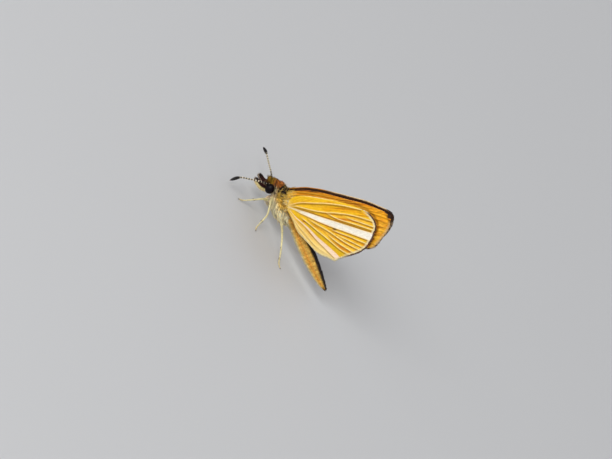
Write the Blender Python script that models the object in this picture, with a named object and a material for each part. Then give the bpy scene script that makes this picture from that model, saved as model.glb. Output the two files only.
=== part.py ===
"""Skipper butterfly at rest with its wings closed: a still, life-size model.

Sizes and places are millimetres, and MM turns a finished node into metres.
+X points from the head to the tail, -Y to the butterfly's left side, +Z up.
While the nodes are made, x = 0 and y = 0 are at the middle of the thorax and
z = 0 is the level of the six feet. At the end the whole is moved so that the
origin lies under the middle of its box.
"""

import math

import bmesh
import bpy
from mathutils import Matrix, Vector
from mathutils.geometry import delaunay_2d_cdt, intersect_point_line

MM = 0.001
SIDES = {"left": -1.0, "right": 1.0}

# Gap between a node and what it grows from
GAP = 0.28

# Thorax: an egg, widest at the wing roots, with a collar of hair that stands
# up between them and the head. Its surface is read outwards from the core
THORAX_CENTRE = Vector((0.0, 0.0, 1.75))
THORAX_RADII = Vector((1.45, 0.92, 1.0))
COLLAR_CENTRE = Vector((-1.02, 0.0, 2.15))
COLLAR_RADII = Vector((0.46, 0.38, 0.77))
THORAX_CORE = Vector((-0.70, 0.0, 1.75))

# Abdomen: stations along its axis as (x, z, radius), with raised rings
ABDOMEN_STATIONS = (
    (1.0, 2.02, 0.57),
    (2.2, 1.83, 0.63),
    (3.2, 1.67, 0.64),
    (4.3, 1.53, 0.63),
    (5.2, 1.42, 0.57),
    (6.1, 1.32, 0.46),
    (6.65, 1.28, 0.34),
    (7.08, 1.27, 0.14),
)
ABDOMEN_SEGMENTS = 8
ABDOMEN_GROOVE = 0.045
ABDOMEN_SIDES = 18

# Head: its own axes point to the tail, to the right and up
HEAD_CENTRE = Vector((-1.92, 0.0, 1.93))
HEAD_HALF_LENGTH = 0.56
HEAD_HALF_WIDTH = 0.40
HEAD_HALF_HEIGHT = 0.58
HEAD_PITCH = -20.0
HEAD_YAW = 7.0
HEAD_ROLL = 9.0
EYE_PLACE = Vector((0.02, 0.60, 0.03))
EYE_RADII = Vector((0.37, 0.34, 0.40))

# Palps: points and radii in the head's axes, on the right side
PALP_PATH = (
    (-0.10, 0.33, -0.42),
    (-0.55, 0.39, -0.46),
    (-0.95, 0.40, -0.36),
    (-1.22, 0.39, -0.24),
    (-1.42, 0.37, -0.16),
)
PALP_RADII = (0.20, 0.25, 0.22, 0.13, 0.07)

# Antennae: points of the shaft and club in the head's axes, as (x, outwards, z)
ANTENNA_PATHS = {
    "left": ((-0.10, 0.18, 0.12), (-0.91, 0.98, 0.27), (-1.59, 1.62, 0.31), (-2.25, 2.31, 0.32), (-2.69, 3.02, 0.03)),
    "right": ((-0.10, 0.18, 0.12), (-0.84, 1.23, 0.14), (-1.40, 2.02, 0.08), (-2.06, 2.84, 0.12), (-2.58, 3.46, -0.04)),
}
ANTENNA_CLUB_LENGTH = 1.0
ANTENNA_SHAFT_RADIUS = 0.23
ANTENNA_CLUB_RADIUS = 0.30
ANTENNA_STEP = 0.28
ANTENNA_SIDES = 8

# Wings: a plan in (u, v), where u runs from the root to the tip at
# WING_ANGLE above the body's axis and v towards the leading edge
WING_ANGLE = 50.0
MEMBRANE = 0.44
RIM_SHARE = 0.8
RIDGE = 0.06
RIDGE_HALF_WIDTH = 0.16
RIDGE_TAPER = 0.5
VEIN_STEP = 1.0
VEIN_MARGIN = 0.24
OUTLINE_STEP = 0.55

FOREWING_ROOT = (-1.0, 2.5)
FOREWING_LAYER = 0.37
FOREWING_OUTLINE = (
    (0.05, 0.02),
    (0.47, 0.33),
    (1.18, 0.55),
    (2.60, 0.74),
    (4.46, 0.71),
    (6.52, 0.60),
    (7.95, 0.41),
    (8.80, 0.18),
    (9.10, -0.32),
    (8.98, -1.15),
    (8.55, -2.05),
    (7.80, -2.88),
    (6.60, -2.95),
    (4.00, -2.15),
    (1.80, -1.25),
    (0.30, -0.50),
)
FOREWING_VEINS = (
    ((0.50, 0.08), (2.50, 0.28), (5.20, 0.18), (7.50, 0.00), (9.00, -0.28)),
    ((0.60, -0.12), (2.40, -0.52), (4.20, -0.80), (5.40, -1.05), (7.10, -1.50), (8.65, -1.95)),
    ((0.80, 0.38), (2.60, 0.55), (4.60, 0.52), (5.20, 0.62)),
    ((3.00, 0.28), (4.80, 0.38), (6.40, 0.50)),
    ((4.60, 0.20), (6.00, 0.28), (7.70, 0.40)),
    ((5.20, 0.14), (6.90, 0.14), (8.60, 0.14)),
    ((5.30, -0.05), (7.10, -0.32), (8.95, -0.75)),
    ((5.10, -0.50), (7.00, -0.90), (8.80, -1.35)),
    ((3.60, -0.75), (5.60, -1.50), (8.10, -2.50)),
    ((2.00, -0.50), (4.20, -1.35), (7.50, -2.90)),
    ((0.60, -0.40), (3.00, -1.42), (6.60, -2.80)),
)

HINDWING_ROOT = (0.0, 2.45)
HINDWING_LAYER = 1.08
HINDWING_OUTLINE = (
    (0.05, 0.05),
    (0.26, 0.64),
    (1.15, 1.12),
    (2.60, 1.27),
    (4.40, 1.28),
    (6.33, 1.04),
    (7.25, 0.39),
    (7.49, -0.53),
    (7.05, -1.61),
    (6.42, -2.32),
    (5.66, -2.91),
    (4.60, -3.50),
    (3.21, -3.26),
    (2.43, -2.98),
    (1.40, -2.12),
    (0.30, -0.70),
)
HINDWING_VEINS = (
    ((0.30, 0.16), (1.26, 0.22), (2.35, 0.17), (3.61, 0.24), (5.00, 0.43), (7.12, 0.33)),
    ((0.45, -0.10), (1.52, -0.28), (3.40, -0.55), (5.69, -0.86), (7.20, -1.00)),
    ((0.35, 0.34), (1.34, 0.60), (3.53, 0.93), (6.33, 0.90)),
    ((3.00, 0.05), (4.84, -0.17), (7.29, -0.45)),
    ((2.60, -0.60), (4.21, -1.10), (6.84, -1.45)),
    ((1.20, -0.35), (2.84, -1.20), (4.64, -1.66), (6.60, -2.05)),
    ((1.10, -0.55), (2.50, -1.35), (4.00, -2.05), (5.90, -2.60)),
    ((0.45, -0.40), (1.40, -1.05), (3.10, -2.20), (4.55, -3.15)),
    ((0.40, -0.75), (1.30, -1.65), (2.40, -2.60), (3.60, -3.15)),
)

# Legs: points from the hip to the toe, on the left side, each with its radius.
# The toe lies along the floor on a small flat
LEG_SIDES = 8
LEG_STEP = 0.32
LEG_ROUTES = {
    "foreleg": (
        (-1.05, 0.42, 1.28, 0.22),
        (-1.40, 1.10, 1.16, 0.25),
        (-1.72, 1.64, 0.66, 0.24),
        (-1.98, 2.05, 0.12, 0.22),
        (-2.30, 2.42, 0.08, 0.17),
    ),
    "midleg": (
        (-0.90, 0.68, 1.56, 0.22),
        (-0.60, 1.26, 1.37, 0.25),
        (-0.16, 1.78, 1.08, 0.26),
        (0.06, 2.18, 0.50, 0.24),
        (0.20, 2.40, 0.09, 0.22),
        (0.46, 2.74, 0.08, 0.17),
    ),
    "hindleg": (
        (0.46, 0.58, 1.32, 0.25),
        (0.90, 0.95, 1.42, 0.27),
        (1.49, 1.25, 1.24, 0.27),
        (2.11, 1.60, 0.98, 0.26),
        (2.88, 2.00, 0.53, 0.24),
        (3.42, 2.27, 0.12, 0.22),
        (3.86, 2.46, 0.08, 0.17),
    ),
}
RIGHT_TOE_SHIFT = {"foreleg": -0.15, "midleg": 0.15, "hindleg": 0.30}

# Finish of each part: colour and roughness
WING_FINISH = ((0.78, 0.42, 0.06), 0.6)
FOREWING_FINISH = ((0.80, 0.33, 0.04), 0.6)
FUR_FINISH = ((0.40, 0.30, 0.15), 0.9)
BELLY_FINISH = ((0.62, 0.40, 0.16), 0.8)
EYE_FINISH = ((0.03, 0.015, 0.03), 0.25)
PALP_FINISH = ((0.72, 0.58, 0.28), 0.85)
ANTENNA_FINISH = ((0.10, 0.07, 0.05), 0.6)
LEG_FINISH = ((0.70, 0.60, 0.36), 0.7)


def clear_scene():
    """Removes whatever the file holds before the model is made."""
    for obj in list(bpy.data.objects):
        bpy.data.objects.remove(obj, do_unlink=True)


def closed_object(name, bm):
    """Makes an object of a closed bmesh, with triangles that face out."""
    bmesh.ops.triangulate(bm, faces=bm.faces)
    bmesh.ops.recalc_face_normals(bm, faces=bm.faces)
    mesh = bpy.data.meshes.new(name)
    bm.to_mesh(mesh)
    bm.free()
    obj = bpy.data.objects.new(name, mesh)
    bpy.context.scene.collection.objects.link(obj)
    return obj


def smooth_line(points, step):
    """Reads points a step apart from a smooth curve through the given ones."""
    points = [Vector(point) for point in points]
    line = []
    for index in range(len(points) - 1):
        start, end = points[index], points[index + 1]
        before = points[max(index - 1, 0)]
        after = points[min(index + 2, len(points) - 1)]
        count = max(1, round((end - start).length / step))
        for part in range(count):
            line.append(curve_point(before, start, end, after, part / count))
    line.append(points[-1])
    return line


def smooth_loop(points, step):
    """Does the same round a closed outline."""
    points = [Vector(point) for point in points]
    total = len(points)
    loop = []
    for index in range(total):
        before, start = points[index - 1], points[index]
        end, after = points[(index + 1) % total], points[(index + 2) % total]
        count = max(1, round((end - start).length / step))
        for part in range(count):
            loop.append(curve_point(before, start, end, after, part / count))
    return loop


def curve_point(before, start, end, after, t):
    """A point of the Catmull-Rom curve between start and end."""
    return 0.5 * (
        2.0 * start
        + (end - before) * t
        + (2.0 * before - 5.0 * start + 4.0 * end - after) * t ** 2
        + (3.0 * start - before - 3.0 * end + after) * t ** 3
    )


def sweep(name, path, radii, sides):
    """A round tube along a path, with its two ends drawn in to a point."""
    bm = bmesh.new()
    rings = []
    across = Vector((0.0, 1.0, 0.0))
    for index, (centre, radius) in enumerate(zip(path, radii)):
        along = path[min(index + 1, len(path) - 1)] - path[max(index - 1, 0)]
        along.normalize()
        across = (across - along * across.dot(along)).normalized()
        up = along.cross(across)
        ring = []
        for side in range(sides):
            angle = math.tau * (side + 0.5) / sides
            offset = across * math.cos(angle) + up * math.sin(angle)
            ring.append(bm.verts.new(centre + offset * radius))
        rings.append(ring)
    for first, second in zip(rings, rings[1:]):
        for side in range(sides):
            after = (side + 1) % sides
            bm.faces.new((first[side], first[after], second[after], second[side]))
    ends = ((rings[0], path[0], path[1], radii[0]), (rings[-1], path[-1], path[-2], radii[-1]))
    for ring, centre, inner, radius in ends:
        tip = bm.verts.new(centre + (centre - inner).normalized() * radius * 0.6)
        for side in range(sides):
            bm.faces.new((ring[side], ring[(side + 1) % sides], tip))
    return closed_object(name, bm)


def egg(name, centre, radii, turn=None, segments=20, rings=12):
    """An ellipsoid with its poles along its own X axis."""
    bm = bmesh.new()
    bmesh.ops.create_uvsphere(bm, u_segments=segments, v_segments=rings, radius=1.0)
    lay_down = Matrix.Rotation(math.radians(90.0), 4, "Y")
    place = Matrix.Translation(centre) @ (turn or Matrix.Identity(4))
    bm.transform(place @ Matrix.Diagonal((*radii, 1.0)) @ lay_down)
    return closed_object(name, bm)


def grown(obj, gap):
    """A cutter: the object's shape grown by the gap on every side."""
    bm = bmesh.new()
    bm.from_mesh(obj.data)
    bm.normal_update()
    moves = [vert.normal * gap for vert in bm.verts]
    for vert, move in zip(bm.verts, moves):
        vert.co += move
    cutter = closed_object(obj.name + "_cutter", bm)
    cutter.hide_render = True
    cutter.display_type = "WIRE"
    return cutter


def keep_largest(obj):
    """Leaves only the largest closed surface of a node."""
    bm = bmesh.new()
    bm.from_mesh(obj.data)
    pieces = []
    left = set(bm.faces)
    while left:
        piece = {left.pop()}
        front = list(piece)
        while front:
            face = front.pop()
            for edge in face.edges:
                for other in edge.link_faces:
                    if other in left:
                        left.remove(other)
                        piece.add(other)
                        front.append(other)
        pieces.append(piece)
    pieces.sort(key=lambda piece: sum(face.calc_area() for face in piece))
    for piece in pieces[:-1]:
        bmesh.ops.delete(bm, geom=list(piece), context="FACES")
    bmesh.ops.triangulate(bm, faces=bm.faces)
    bm.to_mesh(obj.data)
    bm.free()


def cut(obj, *neighbours):
    """Cuts a node clear of its neighbours by the gap."""
    for neighbour in neighbours:
        cutter = grown(neighbour, GAP)
        modifier = obj.modifiers.new("clearance", "BOOLEAN")
        modifier.operation = "DIFFERENCE"
        modifier.solver = "MANIFOLD"
        modifier.object = cutter
        depsgraph = bpy.context.evaluated_depsgraph_get()
        shape = bpy.data.meshes.new_from_object(obj.evaluated_get(depsgraph))
        obj.modifiers.remove(modifier)
        obj.data = shape
        bpy.data.objects.remove(cutter, do_unlink=True)
    keep_largest(obj)


def head_turn():
    """The head's rotation: nose down, a little to the left, right side up."""
    yaw = Matrix.Rotation(math.radians(HEAD_YAW), 4, "Z")
    pitch = Matrix.Rotation(math.radians(HEAD_PITCH), 4, "Y")
    roll = Matrix.Rotation(math.radians(HEAD_ROLL), 4, "X")
    return yaw @ pitch @ roll


def head_point(point, side):
    """A point of the head's right side, or its mirror image, in the body's axes."""
    x, y, z = point
    return Matrix.Translation(HEAD_CENTRE) @ head_turn() @ Vector((x, y * side, z))


def egg_reach(start, way, centre, radii):
    """How far a line from a start runs before it leaves an egg, or 0 where it misses."""
    offset = Vector((start - centre)[axis] / radii[axis] for axis in range(3))
    step = Vector(way[axis] / radii[axis] for axis in range(3))
    middle = offset.dot(step) / step.dot(step)
    rest = middle ** 2 - (offset.dot(offset) - 1.0) / step.dot(step)
    return math.sqrt(rest) - middle if rest > 0.0 else 0.0


def make_thorax():
    """The chest with its collar."""
    thorax = egg("thorax", THORAX_CORE, Vector((1.0, 1.0, 1.0)), segments=24, rings=18)
    for vert in thorax.data.vertices:
        way = vert.co - THORAX_CORE
        chest = egg_reach(THORAX_CORE, way, THORAX_CENTRE, THORAX_RADII)
        collar = egg_reach(THORAX_CORE, way, COLLAR_CENTRE, COLLAR_RADII)
        vert.co = THORAX_CORE + way * max(chest, collar)
    return thorax


def make_abdomen(thorax):
    """A tapered body whose rings rise between shallow grooves."""
    axis = smooth_line([(x, 0.0, z, radius) for x, z, radius in ABDOMEN_STATIONS], 0.01)
    length = ABDOMEN_STATIONS[-1][0] - ABDOMEN_STATIONS[0][0]
    path = []
    radii = []
    rings = ABDOMEN_SEGMENTS * 3
    for ring in range(rings + 1):
        x = ABDOMEN_STATIONS[0][0] + length * ring / rings
        nearest = min(axis, key=lambda point: abs(point[0] - x))
        in_groove = ring % 3 == 0 and 0 < ring < rings
        path.append(Vector(nearest[:3]))
        radii.append(nearest[3] - (ABDOMEN_GROOVE if in_groove else 0.0))
    abdomen = sweep("abdomen", path, radii, ABDOMEN_SIDES)
    cut(abdomen, thorax)
    return abdomen


def make_head(thorax):
    radii = Vector((HEAD_HALF_LENGTH, HEAD_HALF_WIDTH, HEAD_HALF_HEIGHT))
    head = egg("head", HEAD_CENTRE, radii, head_turn())
    cut(head, thorax)
    return head


def make_eye(side_name, head, thorax):
    centre = head_point(EYE_PLACE, SIDES[side_name])
    eye = egg("eye_" + side_name, centre, EYE_RADII, head_turn(), segments=18, rings=12)
    cut(eye, head, thorax)
    return eye


def make_palp(side_name, head, eye):
    points = [head_point(point, SIDES[side_name]) for point in PALP_PATH]
    stations = [(*point, radius) for point, radius in zip(points, PALP_RADII)]
    line = smooth_line(stations, 0.16)
    path = [Vector(point[:3]) for point in line]
    palp = sweep("palp_" + side_name, path, [point[3] for point in line], 10)
    cut(palp, head, eye)
    return palp


def make_antenna(side_name, head, eye):
    """A bowed shaft whose last part swells to a club with a drawn-out point."""
    points = [head_point(point, SIDES[side_name]) for point in ANTENNA_PATHS[side_name]]
    path = smooth_line(points, ANTENNA_STEP)
    length = line_length(path)
    walked = 0.0
    radii = []
    for start, end in zip(path, path[1:] + path[-1:]):
        club = max(0.0, 1.0 - (length - walked) / ANTENNA_CLUB_LENGTH)
        swell = math.sin(math.pi * min(1.0, 1.5 * club) ** 0.8)
        point = 1.0 - 0.75 * max(0.0, club - 0.6) / 0.4
        radii.append((ANTENNA_SHAFT_RADIUS + (ANTENNA_CLUB_RADIUS - ANTENNA_SHAFT_RADIUS) * swell) * point)
        walked += (end - start).length
    antenna = sweep("antenna_" + side_name, path, radii, ANTENNA_SIDES)
    cut(antenna, head, eye)
    return antenna


def on_line(point, line):
    """The distance from a point to a line and the length walked along it there."""
    best = (math.inf, 0.0)
    walked = 0.0
    for start, end in zip(line, line[1:]):
        foot, share = intersect_point_line(point, start, end)
        share = min(1.0, max(0.0, share))
        foot = start.lerp(end, share)
        length = (end - start).length
        best = min(best, ((foot.to_2d() - point).length, walked + share * length))
        walked += length
    return best


def line_length(line):
    return sum((end - start).length for start, end in zip(line, line[1:]))


def vein_lines(veins, outline):
    """The crests of the veins, each only where it's clear of those before it."""
    crests = []
    border = outline + outline[:1]
    for vein in veins:
        clear = []
        for point in smooth_line(vein, VEIN_STEP):
            far_in = on_line(point, border)[0] > VEIN_MARGIN
            free = all(on_line(point, other)[0] > 2.1 * RIDGE_HALF_WIDTH for other in crests)
            if far_in and free:
                clear.append(point)
        if len(clear) > 1:
            crests.append(clear)
    return crests


def ridge_height(point, crests):
    """How far the vein nearest to a point lifts the wing's face there."""
    height = 0.0
    for crest in crests:
        distance, walked = on_line(point, crest)
        rise = max(0.0, 1.0 - distance / RIDGE_HALF_WIDTH)
        taper = min(1.0, (line_length(crest) - walked) / RIDGE_TAPER + 0.2, walked / RIDGE_TAPER + 0.2)
        height = max(height, RIDGE * rise * taper)
    return height


def foot_lines(crest):
    """The two lines where a ridge meets the membrane."""
    left, right = [], []
    for index, point in enumerate(crest):
        along = crest[min(index + 1, len(crest) - 1)] - crest[max(index - 1, 0)]
        across = Vector((-along.y, along.x)).normalized() * RIDGE_HALF_WIDTH
        left.append(point + across)
        right.append(point - across)
    return left, right


def make_wing(name, side_name, root, layer, outline_points, veins, thorax):
    """A flat wing whose veins are ridges in both of its faces."""
    outline = smooth_loop(outline_points, OUTLINE_STEP)
    crests = vein_lines(veins, outline)
    points = list(outline)
    edges = []
    for crest in crests:
        for line in (crest, *foot_lines(crest)):
            first = len(points)
            points.extend(line)
            edges.extend((first + step, first + step + 1) for step in range(len(line) - 1))
    border = list(range(len(outline)))
    result = delaunay_2d_cdt(points, edges, [border], 1, 0.02)
    flat_points, triangles = result[0], result[2]

    lean = math.radians(WING_ANGLE)
    middle = layer * SIDES[side_name]
    border_line = outline + outline[:1]
    bm = bmesh.new()
    near, far = [], []
    for point in flat_points:
        x = root[0] + point.x * math.cos(lean) - point.y * math.sin(lean)
        z = root[1] + point.x * math.sin(lean) + point.y * math.cos(lean)
        on_rim = on_line(point, border_line)[0] < 0.01
        half = MEMBRANE / 2.0 * RIM_SHARE if on_rim else MEMBRANE / 2.0 + ridge_height(point, crests)
        near.append(bm.verts.new((x, middle - half, z)))
        far.append(bm.verts.new((x, middle + half, z)))
    uses = {}
    for triangle in triangles:
        a, b, c = triangle
        bm.faces.new((near[a], near[b], near[c]))
        bm.faces.new((far[c], far[b], far[a]))
        for start, end in ((a, b), (b, c), (c, a)):
            uses[frozenset((start, end))] = uses.get(frozenset((start, end)), []) + [(start, end)]
    for ways in uses.values():
        if len(ways) == 1:
            start, end = ways[0]
            bm.faces.new((near[end], near[start], far[start], far[end]))
    wing = closed_object(f"{name}_{side_name}", bm)
    cut(wing, thorax)
    return wing


def make_leg(name, side_name, thorax):
    """A leg from the hip to a toe that lies on a small flat on the floor."""
    route = []
    last = len(LEG_ROUTES[name]) - 1
    for index, (x, y, z, radius) in enumerate(LEG_ROUTES[name]):
        shift = RIGHT_TOE_SHIFT[name] * index / last if side_name == "right" else 0.0
        route.append((x + shift, y * SIDES[side_name], z, radius))
    line = smooth_line(route, LEG_STEP)
    path = [Vector(point[:3]) for point in line]
    leg = sweep(f"{name}_{side_name}", path, [point[3] for point in line], LEG_SIDES)
    for vert in leg.data.vertices:
        vert.co.z = max(0.0, vert.co.z)
    cut(leg, thorax)
    return leg


def material(name, finish):
    """A plain finish with the part's own colour."""
    colour, roughness = finish
    made = bpy.data.materials.new(name)
    made.use_nodes = True
    shader = made.node_tree.nodes["Principled BSDF"]
    shader.inputs["Base Color"].default_value = (*colour, 1.0)
    shader.inputs["Roughness"].default_value = roughness
    shader.inputs["Metallic"].default_value = 0.0
    return made


def make_nodes():
    """Makes every node in millimetres and returns each with its finish."""
    thorax = make_thorax()
    head = make_head(thorax)
    nodes = [(thorax, FUR_FINISH), (head, FUR_FINISH), (make_abdomen(thorax), BELLY_FINISH)]
    for side_name in SIDES:
        eye = make_eye(side_name, head, thorax)
        nodes.append((eye, EYE_FINISH))
        nodes.append((make_palp(side_name, head, eye), PALP_FINISH))
        nodes.append((make_antenna(side_name, head, eye), ANTENNA_FINISH))
        forewing = make_wing(
            "forewing", side_name, FOREWING_ROOT, FOREWING_LAYER, FOREWING_OUTLINE, FOREWING_VEINS, thorax
        )
        hindwing = make_wing(
            "hindwing", side_name, HINDWING_ROOT, HINDWING_LAYER, HINDWING_OUTLINE, HINDWING_VEINS, thorax
        )
        nodes.append((forewing, FOREWING_FINISH))
        nodes.append((hindwing, WING_FINISH))
        for name in LEG_ROUTES:
            nodes.append((make_leg(name, side_name, thorax), LEG_FINISH))
    return nodes


def settle(nodes):
    """Turns the nodes into metres, over an origin under the middle of their box."""
    corners = [vert.co for obj, _ in nodes for vert in obj.data.vertices]
    low = Vector(min(corner[axis] for corner in corners) for axis in range(3))
    high = Vector(max(corner[axis] for corner in corners) for axis in range(3))
    origin = Vector(((low.x + high.x) / 2.0, (low.y + high.y) / 2.0, 0.0))
    body = bpy.data.objects.new("butterfly", None)
    bpy.context.scene.collection.objects.link(body)
    for obj, finish in nodes:
        points = [vert.co for vert in obj.data.vertices]
        middle = sum(points, Vector()) / len(points)
        obj.data.transform(Matrix.Scale(MM, 4) @ Matrix.Translation(-middle))
        obj.location = (middle - origin) * MM
        obj.parent = body
        obj.data.materials.clear()
        obj.data.materials.append(material(obj.name, finish))
        obj.data.shade_smooth()
        obj.data.set_sharp_from_angle(angle=math.radians(40.0))


def main():
    clear_scene()
    settle(make_nodes())


main()
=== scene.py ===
# Looks of a life-size skipper butterfly at rest with its wings closed.
#
# All pieces are modelled in millimetres, where x = 0 and y = 0 are at the
# middle of the thorax, z = 0 is the floor under the feet, +X runs to the tail
# and -Y to the butterfly's left side. TO_ROW turns them into metres in the
# frame of the solids.

import math

import bmesh
import bpy
import numpy as np
from bpy.props import FloatProperty, FloatVectorProperty, IntProperty, PointerProperty
from bpy.types import Operator, Panel, PropertyGroup
from mathutils import Matrix, Vector
from mathutils.geometry import delaunay_2d_cdt


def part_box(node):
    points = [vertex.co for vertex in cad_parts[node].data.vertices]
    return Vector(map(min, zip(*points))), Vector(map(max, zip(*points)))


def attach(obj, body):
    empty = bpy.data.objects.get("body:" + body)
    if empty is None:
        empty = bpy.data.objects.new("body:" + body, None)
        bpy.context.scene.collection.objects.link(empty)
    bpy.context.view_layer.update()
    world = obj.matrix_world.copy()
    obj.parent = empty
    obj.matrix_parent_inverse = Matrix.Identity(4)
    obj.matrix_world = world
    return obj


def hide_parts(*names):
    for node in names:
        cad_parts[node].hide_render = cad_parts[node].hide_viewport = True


bl_info = {
    "name": "Skipper Butterfly",
    "version": (1, 0, 0),
    "blender": (4, 5, 0),
    "location": "View3D > Sidebar > Butterfly",
    "description": "Dresses a life-size skipper butterfly with skin, hair, scales, wings and eyes",
    "category": "Object",
}

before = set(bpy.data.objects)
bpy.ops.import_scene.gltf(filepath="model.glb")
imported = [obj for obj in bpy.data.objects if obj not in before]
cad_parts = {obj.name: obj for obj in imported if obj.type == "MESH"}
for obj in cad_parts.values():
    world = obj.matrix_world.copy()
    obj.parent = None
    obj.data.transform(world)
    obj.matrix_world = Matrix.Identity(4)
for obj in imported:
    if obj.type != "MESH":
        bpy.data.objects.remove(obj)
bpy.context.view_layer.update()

MM = 0.001
BODY = "root"
THORAX_LOW, THORAX_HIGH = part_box("thorax")
THORAX_REAR = 1.45
ORIGIN = (THORAX_HIGH.x - THORAX_REAR * MM, (THORAX_LOW.y + THORAX_HIGH.y) / 2.0, 0.0)
TO_ROW = Matrix.Translation(ORIGIN) @ Matrix.Scale(MM, 4)
SIDES = {"left": -1.0, "right": 1.0}

# Body under the coat
THORAX_CENTRE = (0.0, 0.0, 1.74)
THORAX_RADII = (1.24, 0.66, 0.86)
TRUNK_LUMPS = (
    ((-1.38, 0.0, 1.86), (0.40, 0.30, 0.38)),
    ((-1.12, 0.0, 2.14), (0.44, 0.36, 0.60)),
    ((-1.52, 0.0, 2.34), (0.36, 0.30, 0.36)),
    ((-0.30, 0.0, 2.15), (0.90, 0.40, 0.50)),
    ((-1.02, 0.0, 1.36), (0.36, 0.42, 0.40)),
    ((1.15, 0.0, 1.98), (0.55, 0.42, 0.46)),
)
NECK_BORDER = -1.45
WING_SOCKETS = (
    ((-0.78, 0.52, 2.24), (0.36, 0.20, 0.30)),
    ((0.02, 0.62, 2.20), (0.36, 0.20, 0.30)),
)
ABDOMEN_STATIONS = (
    (1.0, 2.02, 0.49), (2.2, 1.83, 0.56), (3.2, 1.67, 0.575), (4.3, 1.53, 0.565), (5.2, 1.42, 0.50),
    (6.1, 1.32, 0.38), (6.65, 1.28, 0.25), (6.98, 1.27, 0.12),
)
ABDOMEN_SEGMENTS = 8
ABDOMEN_GROOVE = 0.018

# Head: its own axes point to the tail, to the right and up
HEAD_CENTRE = np.array((-1.92, 0.0, 1.93))
HEAD_RADII = (0.44, 0.34, 0.46)
HEAD_YAW = 7.0
HEAD_PITCH = -20.0
HEAD_ROLL = 9.0
HEAD_LUMPS = (
    ((-0.32, 0.0, 0.04), (0.26, 0.26, 0.34)),
    ((-0.08, 0.0, 0.30), (0.26, 0.25, 0.16)),
    ((-0.10, 0.20, 0.22), (0.13, 0.13, 0.13)),
    ((-0.10, -0.20, 0.22), (0.13, 0.13, 0.13)),
)
EYE_PLACE = (0.02, 0.53, -0.01)
EYE_RADII = np.array((0.36, 0.335, 0.43))
EYE_SEAM = 0.985
PALP_PATH = np.array((
    (-0.10, 0.24, -0.36, 0.17),
    (-0.52, 0.34, -0.44, 0.20),
    (-0.92, 0.38, -0.36, 0.175),
    (-1.15, 0.38, -0.25, 0.135),
    (-1.27, 0.37, -0.18, 0.09),
))
ANTENNA_PATHS = {
    "left": (
        (-0.10, 0.18, 0.12), (-0.91, 0.98, 0.27), (-1.59, 1.62, 0.31), (-2.25, 2.31, 0.32),
        (-2.69, 3.02, 0.03),
    ),
    "right": (
        (-0.10, 0.18, 0.12), (-0.84, 1.23, 0.14), (-1.40, 2.02, 0.08), (-2.06, 2.84, 0.12),
        (-2.58, 3.46, -0.04),
    ),
}
ANTENNA_STEP = 0.0117
ANTENNA_SIDES = 16
SHAFT_RADIUS = 0.062
CLUB_RADIUS = 0.125
CLUB_LENGTH = 0.95
RING_LENGTH = 0.25

# Legs: points from the hip to the toe, on the left side, each with its radius
LEG_ROUTES = {
    "foreleg": (
        (-0.95, 0.34, 1.35, 0.12),
        (-1.12, 0.52, 1.26, 0.080),
        (-1.40, 1.08, 1.16, 0.068),
        (-1.58, 1.38, 0.92, 0.060),
        (-1.76, 1.66, 0.64, 0.054),
        (-2.07, 2.07, 0.17, 0.045),
        (-2.32, 2.42, 0.06, 0.038),
    ),
    "midleg": (
        (-0.45, 0.42, 1.35, 0.14),
        (-0.76, 0.64, 1.52, 0.095),
        (-1.07, 0.82, 1.69, 0.075),
        (-0.61, 1.24, 1.37, 0.070),
        (-0.16, 1.75, 1.08, 0.062),
        (0.05, 2.14, 0.56, 0.055),
        (0.22, 2.44, 0.13, 0.046),
        (0.38, 2.70, 0.06, 0.038),
    ),
    "hindleg": (
        (0.42, 0.44, 1.38, 0.15),
        (0.50, 0.60, 1.34, 0.090),
        (0.90, 0.92, 1.40, 0.076),
        (1.49, 1.25, 1.24, 0.070),
        (2.11, 1.60, 0.98, 0.062),
        (2.88, 2.00, 0.53, 0.055),
        (3.42, 2.27, 0.14, 0.046),
        (3.82, 2.46, 0.06, 0.038),
    ),
}
RIGHT_TOE_SHIFT = {"foreleg": -0.15, "midleg": 0.15, "hindleg": 0.30}
FOOT_LENGTH = 0.95
FOOT_JOINT = 0.17
LINE_STEP = 0.03
SPUR_PLACES = {"foreleg": (0.55,), "midleg": (0.74,), "hindleg": (0.62, 0.80)}
SPUR_RADIUS = 0.020
CLAW_RADIUS = 0.016
CLAW_LOWEST = 0.02

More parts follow.
